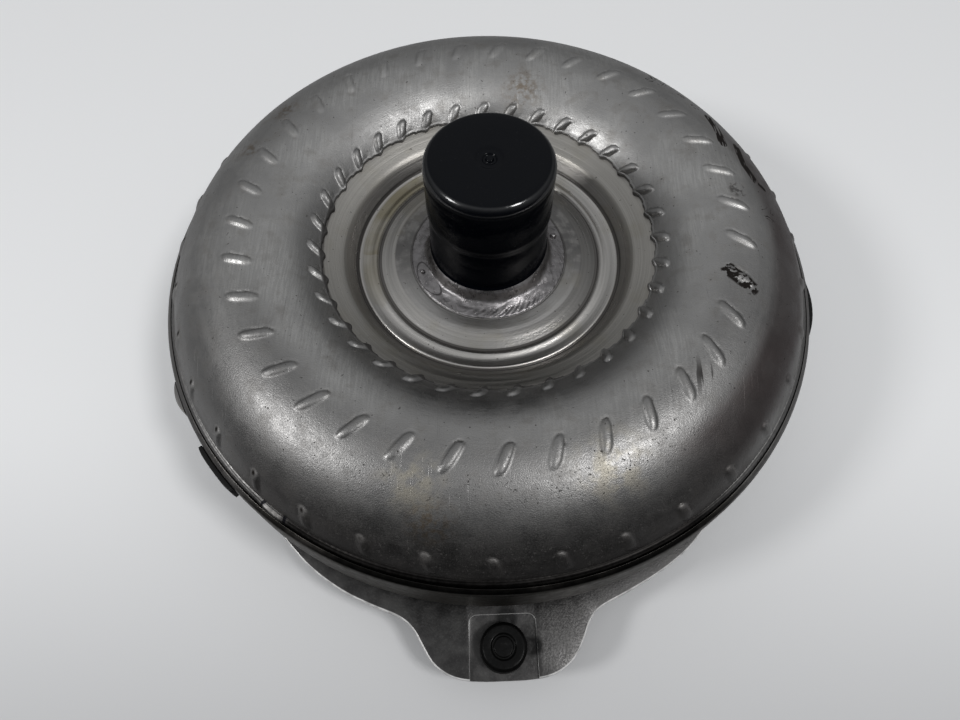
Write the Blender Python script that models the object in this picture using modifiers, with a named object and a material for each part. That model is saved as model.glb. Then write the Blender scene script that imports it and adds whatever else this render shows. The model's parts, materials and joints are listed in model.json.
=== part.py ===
"""Lock-up torque converter with three mounting lugs and a protective cap on its pump hub.

The rotation axis is Z. The origin is on that axis, at the centre of the crankshaft pilot's end face, and +Z
points along the hub, towards the gearbox. Every length below is in millimetres and every mesh is in metres.
Heights are first built from the plane of the lugs' engine-side faces, and the last lines raise them all.
"""

import math

import bmesh
import bpy
from mathutils import Matrix, Vector

MM = 0.001
GAP = 0.3  # clearance between neighbouring fixed pieces

# Torus section of the impeller shell: two arcs that share the crest
CREST_R = 98.0
CREST_Z = 77.3
OUTER_ARC = 42.0
INNER_ARC = 35.0
SHELL_THICK = 3.2
LIP_R = 71.5  # where the dome ends in the scalloped lip
VANE_COUNT = 35
TURBINE_VANE_COUNT = 29
CORE_R = 100.0  # centre of the torus core
STATOR_VANE_COUNT = 13

# Hub that drives the gearbox pump, and the cap over it
HUB_R = 23.8
HUB_BORE_R = 19.5
HUB_TOP = 107.5
CAP_R = 25.2
CAP_TOP = 113.8
CAP_BASE = 63.0
CAP_WALL = 2.2

# Cover, rim and mounting lugs
RIM_R = 143.0
RIM_TOP = 45.4
SKIRT_R = 140.0  # outside of the impeller shell's straight skirt
COVER_FACE_Z = -9.5
COVER_THICK = 4.5
LUG_ANGLES = (-88.2, 31.8, 151.8)
LUG_THICK = 5.0
LUG_INNER_R = 127.0
LUG_REACH = 169.0
NUT_CIRCLE_R = 157.0
NUT_R = 9.5
NUT_BORE_R = 4.25
PILOT_R = 19.8
PILOT_END_Z = -16.0  # the origin's height, measured from the lug plane

# Balance weights on the rim: centre angle and half width, in degrees
WEIGHTS = ((-139.2, 4.8), (-8.4, 5.6), (-153.8, 3.3))

# Turbine hub, clutch piston and torsional damper
INPUT_SHAFT_R = 12.5
STATOR_SHAFT_R = 17.0
SPLINE_DEPTH = 1.0
SPLINE_TEETH = 14
SPRING_CIRCLE_R = 58.0
SPRING_Z = 14.0
SPRING_R = 5.0
SPRING_WIRE_R = 1.2
SPRING_HALF_LENGTH = 10.0
SPRING_COUNT = 6
WINDOW_HALF_LENGTH = 12.6  # the spring's half length and its share of the damper's travel
PIN_CIRCLE_R = 70.0  # spacers and drive pins of the damper
SPACER_ANGLES = (30.0, 150.0, 270.0)
PIN_ANGLES = (90.0, 210.0, 330.0)
RIVET_CIRCLE_R = 47.0
RIVET_COUNT = 6
RIVET_START = 8.0  # degrees from +X to the first rivet
ROLLER_COUNT = 8
ROLLER_R = 3.2
ROLLER_CIRCLE_R = 30.2

LARGE_STEPS = 40  # facets round the shells
SMALL_STEPS = 24  # facets round the hub and clutch
CORE_ARC_PIECES = 2  # facets across a core ring


def clear_scene():
    for obj in list(bpy.data.objects):
        bpy.data.objects.remove(obj, do_unlink=True)


def new_collection(name, hidden=False):
    made = bpy.data.collections.new(name)
    bpy.context.scene.collection.children.link(made)
    made.hide_render = hidden
    return made


def new_material(name, colour, metallic, roughness):
    made = bpy.data.materials.new(name)
    made.use_nodes = True
    shader = made.node_tree.nodes["Principled BSDF"]
    shader.inputs["Base Color"].default_value = (*colour, 1.0)
    shader.inputs["Metallic"].default_value = metallic
    shader.inputs["Roughness"].default_value = roughness
    return made


clear_scene()
CONVERTER = new_collection("torque_converter")
CUTTERS = new_collection("cutters", hidden=True)
SHELL_STEEL = new_material("shell_steel", (0.42, 0.41, 0.40), 1.0, 0.38)
COVER_STEEL = new_material("cover_steel", (0.40, 0.39, 0.38), 1.0, 0.40)
MACHINED_STEEL = new_material("machined_steel", (0.55, 0.54, 0.53), 1.0, 0.25)
WELD_STEEL = new_material("weld_steel", (0.38, 0.36, 0.35), 1.0, 0.45)
BLACK_OXIDE = new_material("black_oxide", (0.02, 0.02, 0.02), 0.6, 0.45)
CAP_VINYL = new_material("cap_vinyl", (0.01, 0.01, 0.01), 0.0, 0.22)
CAST_ALUMINIUM = new_material("cast_aluminium", (0.62, 0.62, 0.61), 1.0, 0.45)
SPRING_STEEL = new_material("spring_steel", (0.30, 0.30, 0.31), 1.0, 0.35)
FRICTION_PAPER = new_material("friction_paper", (0.12, 0.08, 0.05), 0.0, 0.9)
SEAL_RUBBER = new_material("seal_rubber", (0.02, 0.02, 0.02), 0.0, 0.6)


# --- helpers --------------------------------------------------------------------------------------------


def arc(centre_r, centre_z, radius, start, end, pieces):
    """Points along an arc in the profile plane, angles in degrees from the outward direction."""
    angles = [math.radians(start + (end - start) * i / pieces) for i in range(pieces + 1)]
    return [(centre_r + radius * math.cos(a), centre_z + radius * math.sin(a)) for a in angles]


def circle(radius, count, centre=(0.0, 0.0)):
    turn = 2 * math.pi / count
    return [
        (centre[0] + radius * math.cos(turn * i), centre[1] + radius * math.sin(turn * i))
        for i in range(count)
    ]


def polar(radius, degrees):
    return radius * math.cos(math.radians(degrees)), radius * math.sin(math.radians(degrees))


def place(obj, material, collection=CONVERTER):
    collection.objects.link(obj)
    if material:
        obj.data.materials.append(material)
    if collection is CUTTERS:
        obj.hide_render = True
        obj.display_type = "WIRE"
    return obj


def smooth(mesh, degrees=35):
    mesh.shade_smooth()
    mesh.set_sharp_from_angle(angle=math.radians(degrees))


def turned(name, profile, material=None, steps=SMALL_STEPS, collection=CONVERTER):
    """A profile of (radius, height) spun about Z. It runs down its outer side and closes on itself, unless
    both of its ends are on the axis."""
    closed = not (profile[0][0] == 0 and profile[-1][0] == 0)
    mesh = bpy.data.meshes.new(name)
    edges = [(i, i + 1) for i in range(len(profile) - 1)]
    if closed:
        edges.append((len(profile) - 1, 0))
    mesh.from_pydata([(r * MM, 0, z * MM) for r, z in profile], edges, [])
    obj = place(bpy.data.objects.new(name, mesh), material, collection)
    screw = obj.modifiers.new("Spin", "SCREW")
    screw.axis = "Z"
    screw.steps = steps
    screw.render_steps = steps
    screw.use_merge_vertices = True
    screw.merge_threshold = 1e-5
    screw.use_smooth_shade = False
    return obj


def evaluated_mesh(obj):
    bpy.context.view_layer.update()
    graph = bpy.context.evaluated_depsgraph_get()
    mesh = bpy.data.meshes.new_from_object(obj.evaluated_get(graph))
    mesh.transform(obj.matrix_world)
    return mesh


def flat_mesh(name, outlines, low, high):
    """A flat plate from z low to z high. The first outline is its edge and the others are holes."""
    curve = bpy.data.curves.new(name, "CURVE")
    curve.dimensions = "2D"
    curve.fill_mode = "BOTH"
    curve.extrude = (high - low) / 2 * MM
    for outline in outlines:
        spline = curve.splines.new("POLY")
        spline.points.add(len(outline) - 1)
        for point, (x, y) in zip(spline.points, outline):
            point.co = (x * MM, y * MM, 0, 1)
        spline.use_cyclic_u = True
    guide = bpy.data.objects.new(name, curve)
    bpy.context.scene.collection.objects.link(guide)
    guide.location.z = (high + low) / 2 * MM
    mesh = evaluated_mesh(guide)
    bpy.data.objects.remove(guide, do_unlink=True)
    bpy.data.curves.remove(curve)
    shape = bmesh.new()
    shape.from_mesh(mesh)
    bmesh.ops.remove_doubles(shape, verts=shape.verts, dist=1e-6)
    bmesh.ops.recalc_face_normals(shape, faces=shape.faces)
    shape.to_mesh(mesh)
    shape.free()
    return mesh


def flat(name, outlines, low, high, material=None, collection=CONVERTER):
    return place(bpy.data.objects.new(name, flat_mesh(name, outlines, low, high)), material, collection)


def repeated(name, mesh, matrices):
    """One cutter or tool mesh that holds a copy of the mesh at each matrix."""
    group = bmesh.new()
    for matrix in matrices:
        copy = mesh.copy()
        copy.transform(matrix)
        group.from_mesh(copy)
        bpy.data.meshes.remove(copy)
    made = bpy.data.meshes.new(name)
    group.to_mesh(made)
    group.free()
    return place(bpy.data.objects.new(name, made), None, CUTTERS)


def turn(degrees):
    return Matrix.Rotation(math.radians(degrees), 4, "Z")


def boolean(obj, tool, operation):
    modifier = obj.modifiers.new(f"{operation.title()} {tool.name}", "BOOLEAN")
    modifier.operation = operation
    modifier.object = tool
    modifier.solver = "EXACT"
    return obj


def cut(obj, tool):
    return boolean(obj, tool, "DIFFERENCE")


def join(obj, tool):
    return boolean(obj, tool, "UNION")


def arc_bar(inner, outer, half_angle, pieces):
    """Outline of a bar bent round the axis, centred on +X."""
    angles = [half_angle * (2 * i / pieces - 1) for i in range(pieces + 1)]
    return [polar(outer, a) for a in angles] + [polar(inner, a) for a in reversed(angles)]


# --- shells ---------------------------------------------------------------------------------------------


def dome_arcs(inset, inner_pieces, outer_pieces):
    """The dome from its scalloped lip over the crest to the skirt, moved inwards by inset."""
    inner_centre = CREST_Z - INNER_ARC
    lip_angle = math.degrees(math.acos((CREST_R - LIP_R) / INNER_ARC))
    inner = arc(CREST_R, inner_centre, INNER_ARC - inset, 180 - lip_angle, 90, inner_pieces)
    outer = arc(CREST_R, CREST_Z - OUTER_ARC, OUTER_ARC - inset, 90, 0, outer_pieces)
    return inner + outer[1:]


def make_impeller_shell():
    """Pressed shell: flat weld land, dish, double-lipped ring, rising wall, scalloped lip, then the dome."""
    outside = [
        (24.4, 55.0),
        (40.0, 55.1),
        (47.6, 53.2),
        (49.4, 54.4),
        (52.6, 53.3),
        (56.4, 54.8),
        (61.8, 59.8),
        (70.6, 63.4),
    ]
    skirt_end = 34.6
    inside = [
        (SKIRT_R - SHELL_THICK, skirt_end),
        *reversed(dome_arcs(SHELL_THICK, 2, 4)),
        (71.6, 60.2),
        (59.0, 50.6),
        (24.4, 50.6),
    ]
    profile = outside + dome_arcs(0, 3, 6) + [(SKIRT_R, skirt_end)] + inside
    return turned("impeller_shell", profile, SHELL_STEEL, LARGE_STEPS)


def make_front_cover():
    """Pressed cover: lip round the shell, rim wall, tucked-in side, clutch land and stepped centre."""
    thick = COVER_THICK
    land_z = -5.0
    profile = [
        (0, COVER_FACE_Z + thick),
        (78.0, COVER_FACE_Z + thick),
        (84.0, land_z + thick),
        (112.0, land_z + thick),
        (128.6, 17.0),
        (138.2, 26.0),
        (138.2, 34.2),
        (SKIRT_R + 0.4, 34.2),
        (SKIRT_R + 0.4, RIM_TOP),
        (142.0, RIM_TOP),
        (RIM_R, RIM_TOP - 1.2),
        (RIM_R, 21.5),
        (141.0, 18.5),
        (126.4, 5.4),
        (114.0, land_z),
        (86.5, land_z),
        (80.5, COVER_FACE_Z),
        (0, COVER_FACE_Z),
    ]
    return turned("front_cover", profile, COVER_STEEL, LARGE_STEPS)


def make_rim_weld():
    """Closure weld that fills the corner between the cover's lip and the dome."""
    base = RIM_TOP + GAP
    profile = [(138.9, base + 2.0), (140.2, base + 2.0), (141.2, base + 1.1), (141.6, base), (139.2, base)]
    return turned("rim_weld", profile, WELD_STEEL, LARGE_STEPS)


def make_pilot():
    top = COVER_FACE_Z - GAP
    profile = [
        (0, top),
        (PILOT_R, top),
        (PILOT_R, PILOT_END_Z + 0.8),
        (PILOT_R - 0.8, PILOT_END_Z),
        (0, PILOT_END_Z),
    ]
    return turned("crankshaft_pilot", profile, MACHINED_STEEL)


# --- hub and cap ----------------------------------------------------------------------------------------


def make_impeller_hub():
    """Tube with a flange under the shell and two notches that drive the pump."""
    profile = [
        (HUB_BORE_R, HUB_TOP),
        (HUB_R - 1.0, HUB_TOP),
        (HUB_R, HUB_TOP - 1.0),
        (HUB_R, 50.3),
        (31.0, 50.3),
        (31.0, 46.6),
        (HUB_BORE_R, 46.6),
    ]
    hub = turned("impeller_hub", profile, MACHINED_STEEL)
    notch = [(-30.0, -5.0), (30.0, -5.0), (30.0, 5.0), (-30.0, 5.0)]
    return cut(hub, flat("hub_notches", [notch], HUB_TOP - 8.0, HUB_TOP + 5.0, None, CUTTERS))


def make_hub_weld():
    """Fillet weld between the shell and the hub."""
    profile = [(24.15, 62.4), (25.2, 62.4), (27.0, 58.0), (33.6, 55.9), (33.6, 55.4), (24.15, 55.4)]
    return turned("hub_weld", profile, WELD_STEEL)


def make_hub_cap():
    """Push-on vinyl cap: rounded shoulder, shallow waist, flared mouth and a gate dimple in the crown."""
    inner_r = HUB_R + 0.35
    outside = [(0, CAP_TOP - 0.7), (2.6, CAP_TOP - 0.5), (3.6, CAP_TOP)]
    outside += arc(CAP_R - 4.0, CAP_TOP - 4.0, 4.0, 90, 0, 4)
    outside += [(CAP_R, 90.0), (CAP_R - 0.8, 84.5), (CAP_R - 0.5, 66.0), (CAP_R - 0.1, CAP_BASE)]
    inside = [(inner_r, CAP_BASE), (inner_r - 0.1, 100.0), (inner_r - 0.1, CAP_TOP - CAP_WALL - 1.5)]
    inside += [(inner_r - 1.5, CAP_TOP - CAP_WALL), (0, CAP_TOP - CAP_WALL)]
    return turned("hub_cap", outside + inside, CAP_VINYL)


# --- lugs, nuts and weights -----------------------------------------------------------------------------


def lug_outline():
    """Half of the lug's free edge as (across, outwards), from its nose to the shoulder on the cover."""
    nose = [(14.0, LUG_REACH)]
    corner = [(22.5, LUG_REACH - 2.8), (28.5, 161.5), (32.6, 155.0)]
    flare = [(36.0, 148.0), (42.0, 141.6), (54.0, 135.2), (79.5, 121.4), (91.8, 110.7), (98.0, 103.6)]
    half = nose + corner + flare
    end = 96.0 / LUG_INNER_R
    weld_edge = [
        (LUG_INNER_R * math.sin(end * k / 4), LUG_INNER_R * math.cos(end * k / 4)) for k in range(4, -5, -1)
    ]
    right = [(x, y) for x, y in half]
    left = [(-x, y) for x, y in reversed(half)]
    along = left + right + weld_edge
    return [(y, -x) for x, y in along]


def seat_outline():
    """Recessed nut seat, open at the lug's nose, with two rounded inner corners."""
    half_width = 13.7
    inner = 144.8
    outer = LUG_REACH + 4.0
    radius = 3.5
    corner = [
        (inner + radius - radius * math.sin(a), half_width - radius + radius * math.cos(a))
        for a in (math.radians(d) for d in (0, 45, 90))
    ]
    upper = [(outer, half_width), *corner]
    return upper + [(x, -y) for x, y in reversed(upper)]


def make_lug(index, degrees):
    mesh = flat_mesh(f"lug_{index}", [lug_outline(), circle(5.5, 12, (NUT_CIRCLE_R, 0))], 0, LUG_THICK)
    mesh.transform(turn(degrees))
    lug = place(bpy.data.objects.new(f"lug_{index}", mesh), COVER_STEEL)
    seat = flat(f"lug_{index}_seat", [seat_outline()], LUG_THICK - 1.0, LUG_THICK + 3.0, None, CUTTERS)
    seat.rotation_euler.z = math.radians(degrees)
    return cut(lug, seat)


def make_lug_nut(index, degrees):
    """Closed weld nut: chamfered rim, shallow dish in its crown, and a blind bore from the engine side."""
    base = LUG_THICK - 1.0 + GAP
    top = base + 7.0
    profile = [
        (0, top - 0.6),
        (4.4, top - 0.6),
        (5.3, top),
        (8.4, top),
        (NUT_R, top - 1.2),
        (NUT_R, base),
        (NUT_BORE_R, base),
        (NUT_BORE_R, top - 2.6),
        (0, top - 2.6),
    ]
    nut = turned(f"lug_nut_{index}", profile, BLACK_OXIDE, 16)
    x, y = polar(NUT_CIRCLE_R, degrees)
    nut.location = (x * MM, y * MM, 0)
    return nut


def make_balance_weight(index, degrees, half_angle):
    outline = arc_bar(RIM_R + GAP, RIM_R + 2.2, half_angle, 3)
    weight = flat(f"balance_weight_{index}", [outline], 34.0, 42.0, BLACK_OXIDE)
    weight.rotation_euler.z = math.radians(degrees)
    return weight


# --- impeller, turbine and stator blades ----------------------------------------------------------------


def upright_blade(name, outline, thickness):
    """Flat blade in the X-Z plane from an outline of (radius, height)."""
    mesh = flat_mesh(name, [outline], -thickness / 2, thickness / 2)
    mesh.transform(Matrix.Rotation(math.radians(90), 4, "X"))
    return mesh


def blade_ring(name, blade, count, skew_degrees, pivot_r):
    """Blades round the axis, each turned by the skew about an upright line at the pivot radius."""
    pivot = Matrix.Translation((pivot_r * MM, 0, 0))
    skew = pivot @ turn(skew_degrees) @ pivot.inverted()
    return repeated(name, blade, [turn(360 / count * i) @ skew for i in range(count)])


def core_ring(name, centre_z, radius, wall, start, end, count):
    """Half-round ring on the torus core, with one facet for each blade."""
    outer = arc(CORE_R, centre_z, radius, start, end, CORE_ARC_PIECES)
    inner = arc(CORE_R, centre_z, radius - wall, end, start, CORE_ARC_PIECES)
    return turned(name, outer + inner, MACHINED_STEEL, count)


def make_impeller_blades():
    """Thirty-five flat vanes brazed to a half-round core ring."""
    centre_z = 39.2
    radius = 13.6
    wall = 1.6
    ring = core_ring("impeller_blades", centre_z, radius, wall, 178, 2, VANE_COUNT)
    rising = [(71.0, 47.0), (75.6, 60.5), (87.0, 70.0), (100.0, 72.4)]
    shell_side = rising + [(119.5, 65.4), (130.0, 53.6), (134.0, 42.0)]
    core_side = arc(CORE_R, centre_z, radius - wall / 2, 4, 176, CORE_ARC_PIECES)
    blade = upright_blade("impeller_blade", shell_side + core_side, 1.0)
    return join(ring, blade_ring("impeller_blade_set", blade, VANE_COUNT, -7.7, 135.0))


def make_turbine_blades():
    """Flat vanes of the driven bowl, with their own core ring facing the impeller's."""
    centre_z = 33.6
    radius = 12.6
    wall = 1.6
    ring = core_ring("turbine_blades", centre_z, radius, wall, -2, -178, TURBINE_VANE_COUNT)
    core_side = arc(CORE_R, centre_z, radius - wall / 2, -176, -4, CORE_ARC_PIECES)
    shell_side = [(131.4, 32.0), (129.4, 28.6), (120.0, 22.4), (99.0, 18.8), (84.0, 21.6), (73.6, 29.0)]
    blade = upright_blade("turbine_blade", core_side + shell_side, 1.0)
    return join(ring, blade_ring("turbine_blade_set", blade, TURBINE_VANE_COUNT, 16.0, 100.0))


def make_turbine_shell():
    """Pressed bowl behind the turbine blades, with a flat inner flange for the rivets."""
    outside = [(134.6, 34.4), (133.6, 28.0), (123.0, 19.4), (98.0, 15.9), (84.0, 18.0), (74.0, 23.4)]
    inside = [(74.8, 25.4), (85.0, 20.0), (98.0, 17.9), (122.0, 21.2), (131.8, 28.8), (132.8, 34.4)]
    flange = [(68.0, 24.8), (40.0, 24.8), (40.0, 26.8), (69.0, 26.8)]
    shell = turned("turbine_shell", outside + flange + inside, SHELL_STEEL, LARGE_STEPS)
    return cut(shell, rivet_hole_cutter("turbine_shell_holes", 20.0, 30.0))


def rivet_hole_cutter(name, low, high):
    hole = flat_mesh(name, [circle(3.3, 8, (RIVET_CIRCLE_R, 0))], low, high)
    return repeated(name, hole, [turn(RIVET_START + 360 / RIVET_COUNT * i) for i in range(RIVET_COUNT)])


def spline_cutter(name, minor_r, low, high):
    """Prism with square-topped teeth that leaves splines in a bore."""
    pitch = 360 / SPLINE_TEETH
    steps = ((0.13, 0), (0.55, 0), (0.65, 1), (1.03, 1))
    outline = [
        polar(minor_r + SPLINE_DEPTH * out, pitch * (tooth + share))
        for tooth in range(SPLINE_TEETH)
        for share, out in steps
    ]
    return flat(name, [outline], low, high, None, CUTTERS)


def make_turbine_hub():
    """Splined hub: bearing seat, rivet flange, seat for the driven plate and a boss with the seal groove."""
    rough_bore = INPUT_SHAFT_R - 0.5
    profile = [
        (rough_bore, 25.9),
        (37.0, 25.9),
        (37.0, 24.5),
        (54.0, 24.5),
        (54.0, 20.8),
        (33.0, 20.8),
        (33.0, 11.0),
        (27.0, 11.0),
        (27.0, 5.4),
        (25.4, 5.4),
        (25.4, 3.2),
        (27.0, 3.2),
        (27.0, -1.8),
        (rough_bore, -1.8),
    ]
    hub = turned("turbine_hub", profile, MACHINED_STEEL)
    cut(hub, rivet_hole_cutter("turbine_hub_holes", 15.0, 30.0))
    return cut(hub, spline_cutter("turbine_hub_splines", INPUT_SHAFT_R, -6.0, 30.0))


def make_turbine_rivet(index):
    profile = [
        (0, 28.4),
        (4.6, 27.1),
        (3.0, 27.1),
        (3.0, 20.5),
        (4.6, 20.5),
        (0, 19.7),
    ]
    rivet = turned(f"turbine_rivet_{index}", profile, MACHINED_STEEL, 8)
    degrees = RIVET_START + 360 / RIVET_COUNT * (index - 1)
    x, y = polar(RIVET_CIRCLE_R, degrees)
    rivet.location = (x * MM, y * MM, 0)
    rivet.rotation_euler.z = math.radians(degrees)
    return rivet


def make_stator_wheel():
    """Cast wheel: hub ring, cambered vanes and an outer ring."""
    hub = turned("stator_wheel", [(39.0, 43.0), (46.0, 43.0), (46.0, 29.4), (39.0, 29.4)], CAST_ALUMINIUM)
    rim_profile = [(64.0, 42.0), (66.5, 42.0), (66.5, 31.0), (64.0, 31.0)]
    rim = turned("stator_rim", rim_profile, None, SMALL_STEPS, CUTTERS)
    camber = [(-6.5, 41.8), (1.4, 38.8), (6.6, 31.6), (5.0, 31.2), (-1.4, 36.0), (-7.4, 39.2)]
    vane = flat_mesh("stator_vane", [camber], 44.6, 65.0)
    stand = Matrix(((0, 0, 1, 0), (1, 0, 0, 0), (0, 1, 0, 0), (0, 0, 0, 1)))
    vane.transform(stand)
    turns = [turn(360 / STATOR_VANE_COUNT * i) for i in range(STATOR_VANE_COUNT)]
    join(hub, repeated("stator_vane_set", vane, turns))
    return join(hub, rim)


# --- one-way clutch and thrust bearings -----------------------------------------------------------------


def make_outer_race():
    """Race pressed into the stator, with a pocket for each roller."""
    profile = [(32.0, 42.6), (38.6, 42.6), (38.6, 29.8), (32.0, 29.8)]
    race = turned("clutch_outer_race", profile, MACHINED_STEEL)
    pocket = [(29.0, -3.9), (33.9, -3.9), (34.3, 0.5), (33.6, 5.0), (29.0, 5.0)]
    mesh = flat_mesh("race_pocket", [pocket], 25.0, 47.0)
    pockets = repeated("race_pockets", mesh, [turn(360 / ROLLER_COUNT * i) for i in range(ROLLER_COUNT)])
    return cut(race, pockets)


def make_inner_race():
    """Race with splines for the gearbox's fixed stator shaft."""
    rough_bore = STATOR_SHAFT_R - 0.5
    profile = [(rough_bore, 42.8), (26.4, 42.8), (26.4, 29.6), (rough_bore, 29.6)]
    race = turned("clutch_inner_race", profile, MACHINED_STEEL)
    return cut(race, spline_cutter("inner_race_splines", STATOR_SHAFT_R, 25.0, 47.0))


def make_clutch_roller(index):
    roller = flat(f"clutch_roller_{index}", [circle(ROLLER_R, 10)], 31.0, 41.6, MACHINED_STEEL)
    x, y = polar(ROLLER_CIRCLE_R, 360 / ROLLER_COUNT * (index - 1))
    roller.location.x = x * MM
    roller.location.y = y * MM
    return roller


def make_thrust_bearing(name, inner, outer, low, high, needles):
    """Cage ring with radial needles standing a little proud of both of its faces."""
    middle = (low + high) / 2
    half = (high - low) / 2
    top = middle + half * 0.55
    bottom = middle - half * 0.55
    cage_profile = [(inner, top), (outer, top), (outer, bottom), (inner, bottom)]
    cage = turned(name, cage_profile, MACHINED_STEEL)
    needle = flat_mesh(f"{name}_needle", [circle(half, 6)], inner + 1.2, outer - 1.2)
    needle.transform(Matrix(((0, 0, 1, 0), (1, 0, 0, 0), (0, 1, 0, 0), (0, 0, 0, 1))))
    lift = Matrix.Translation((0, 0, middle * MM))
    needle_set = repeated(f"{name}_needles", needle, [lift @ turn(360 / needles * i) for i in range(needles)])
    return join(cage, needle_set)


# --- lock-up clutch and damper --------------------------------------------------------------------------


def make_piston():
    """Clutch piston: collar that slides on the turbine hub, web and outer land that carries the lining."""
    profile = [
        (27.6, 10.2),
        (30.6, 10.2),
        (30.6, 2.0),
        (44.0, 0.6),
        (75.0, 0.6),
        (86.5, 5.8),
        (113.0, 5.8),
        (113.0, 2.9),
        (88.0, 2.9),
        (76.0, -2.2),
        (43.0, -2.2),
        (27.6, -1.4),
    ]
    return turned("lockup_piston", profile, SHELL_STEEL, LARGE_STEPS)


def make_friction_lining():
    profile = [(91.0, 2.6), (111.5, 2.6), (111.5, 1.2), (91.0, 1.2)]
    return turned("friction_lining", profile, FRICTION_PAPER, LARGE_STEPS)


def make_piston_seal():
    """Ring in the groove of the turbine hub's boss, against the piston's bore."""
    return turned("piston_seal", [(25.7, 5.1), (27.3, 5.1), (27.3, 3.5), (25.7, 3.5)], SEAL_RUBBER)


def make_drive_pin(index, degrees):
    """Pin that stands on the piston and slides in the front drive plate."""
    profile = [(0, 14.0), (2.6, 14.0), (2.6, 0.9), (0, 0.9)]
    pin = turned(f"piston_drive_pin_{index}", profile, MACHINED_STEEL, 8)
    x, y = polar(PIN_CIRCLE_R, degrees)
    pin.location = (x * MM, y * MM, 0)
    return pin


def window(inner, outer):
    """Straight-sided window for the spring on +X."""
    long = WINDOW_HALF_LENGTH
    return [(inner, -long), (outer, -long), (outer, long), (inner, long)]


def spun_outlines(outline):
    """The outline turned to each spring's place."""
    spun = []
    for i in range(SPRING_COUNT):
        matrix = turn(360 / SPRING_COUNT * i)
        points = [matrix @ Vector((x, y, 0)) for x, y in outline]
        spun.append([(p.x, p.y) for p in points])
    return spun


def make_damper_side_plate(name, low, high, pin_hole_angles):
    """Drive plate with a window over each spring, wider than the spring by the damper's travel."""
    windows = spun_outlines(window(SPRING_CIRCLE_R - 4.4, SPRING_CIRCLE_R + 4.4))
    rivet_holes = [circle(2.6, 8, polar(PIN_CIRCLE_R, angle)) for angle in SPACER_ANGLES]
    pin_holes = [circle(3.2, 8, polar(PIN_CIRCLE_R, angle)) for angle in pin_hole_angles]
    outlines = [circle(75.0, 30), circle(40.0, 20), *windows, *rivet_holes, *pin_holes]
    return flat(name, outlines, low, high, MACHINED_STEEL)


def make_damper_flange():
    """Driven plate on the turbine hub, between the two drive plates."""
    windows = spun_outlines(window(SPRING_CIRCLE_R - 6.5, SPRING_CIRCLE_R + 6.0))
    outlines = [circle(66.4, 30), circle(33.5, SMALL_STEPS), *windows]
    return flat("damper_flange", outlines, SPRING_Z - 1.4, SPRING_Z + 1.4, MACHINED_STEEL)


def make_damper_spacer(index, degrees):
    """Shouldered pin that holds the two drive plates apart, outside the driven plate."""
    profile = [
        (0, 19.0),
        (2.2, 19.0),
        (2.2, 17.4),
        (2.9, 17.4),
        (2.9, 10.6),
        (2.2, 10.6),
        (2.2, 9.0),
        (0, 9.0),
    ]
    spacer = turned(f"damper_spacer_{index}", profile, MACHINED_STEEL, 8)
    x, y = polar(PIN_CIRCLE_R, degrees)
    spacer.location = (x * MM, y * MM, 0)
    return spacer


def make_damper_spring(index):
    """Coil whose axis lies along the spring circle."""
    turns = 4
    per_turn = 6
    coil_r = SPRING_R - SPRING_WIRE_R
    curve = bpy.data.curves.new(f"damper_spring_{index}", "CURVE")
    curve.dimensions = "3D"
    curve.bevel_depth = SPRING_WIRE_R * MM
    curve.bevel_resolution = 0
    curve.use_fill_caps = True
    spline = curve.splines.new("POLY")
    count = turns * per_turn
    spline.points.add(count)
    half = SPRING_HALF_LENGTH - SPRING_WIRE_R
    for i, point in enumerate(spline.points):
        angle = 2 * math.pi * i / per_turn
        along = half * (2 * i / count - 1)
        point.co = (coil_r * math.cos(angle) * MM, along * MM, coil_r * math.sin(angle) * MM, 1)
    spring = place(bpy.data.objects.new(f"damper_spring_{index}", curve), SPRING_STEEL)
    degrees = 360 / SPRING_COUNT * (index - 1)
    x, y = polar(SPRING_CIRCLE_R, degrees)
    spring.location = (x * MM, y * MM, SPRING_Z * MM)
    spring.rotation_euler.z = math.radians(degrees)
    return spring


# --- assembly -------------------------------------------------------------------------------------------


def build_housing():
    make_impeller_shell()
    make_front_cover()
    make_rim_weld()
    make_pilot()
    make_impeller_hub()
    make_hub_weld()
    make_hub_cap()
    make_impeller_blades()
    for number, degrees in enumerate(LUG_ANGLES, 1):
        make_lug(number, degrees)
        make_lug_nut(number, degrees)
    for number, (degrees, half_angle) in enumerate(WEIGHTS, 1):
        make_balance_weight(number, degrees, half_angle)


def build_turbine():
    make_turbine_shell()
    make_turbine_blades()
    make_turbine_hub()
    make_damper_flange()
    for number in range(1, RIVET_COUNT + 1):
        make_turbine_rivet(number)


def build_stator():
    make_stator_wheel()
    make_outer_race()
    make_inner_race()
    for number in range(1, ROLLER_COUNT + 1):
        make_clutch_roller(number)


def build_bearings():
    make_thrust_bearing("thrust_bearing_impeller", 23.0, 36.0, 43.4, 46.2, 6)
    make_thrust_bearing("thrust_bearing_turbine", 23.0, 36.0, 26.3, 29.1, 6)
    make_thrust_bearing("thrust_bearing_cover", 14.0, 23.0, -4.7, -2.1, 6)


def build_lockup_clutch():
    make_piston()
    make_friction_lining()
    make_piston_seal()
    make_damper_side_plate("damper_plate_front", 8.6, 10.3, PIN_ANGLES)
    make_damper_side_plate("damper_plate_rear", 17.7, 19.4, ())
    for number, degrees in enumerate(SPACER_ANGLES, 1):
        make_damper_spacer(number, degrees)
    for number, degrees in enumerate(PIN_ANGLES, 1):
        make_drive_pin(number, degrees)
    for number in range(1, SPRING_COUNT + 1):
        make_damper_spring(number)


build_housing()
build_turbine()
build_stator()
build_bearings()
build_lockup_clutch()
for part in CONVERTER.objects:
    if part.type == "MESH":
        smooth(part.data)
for part in [*CONVERTER.objects, *CUTTERS.objects]:
    part.location.z -= PILOT_END_Z * MM
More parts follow.
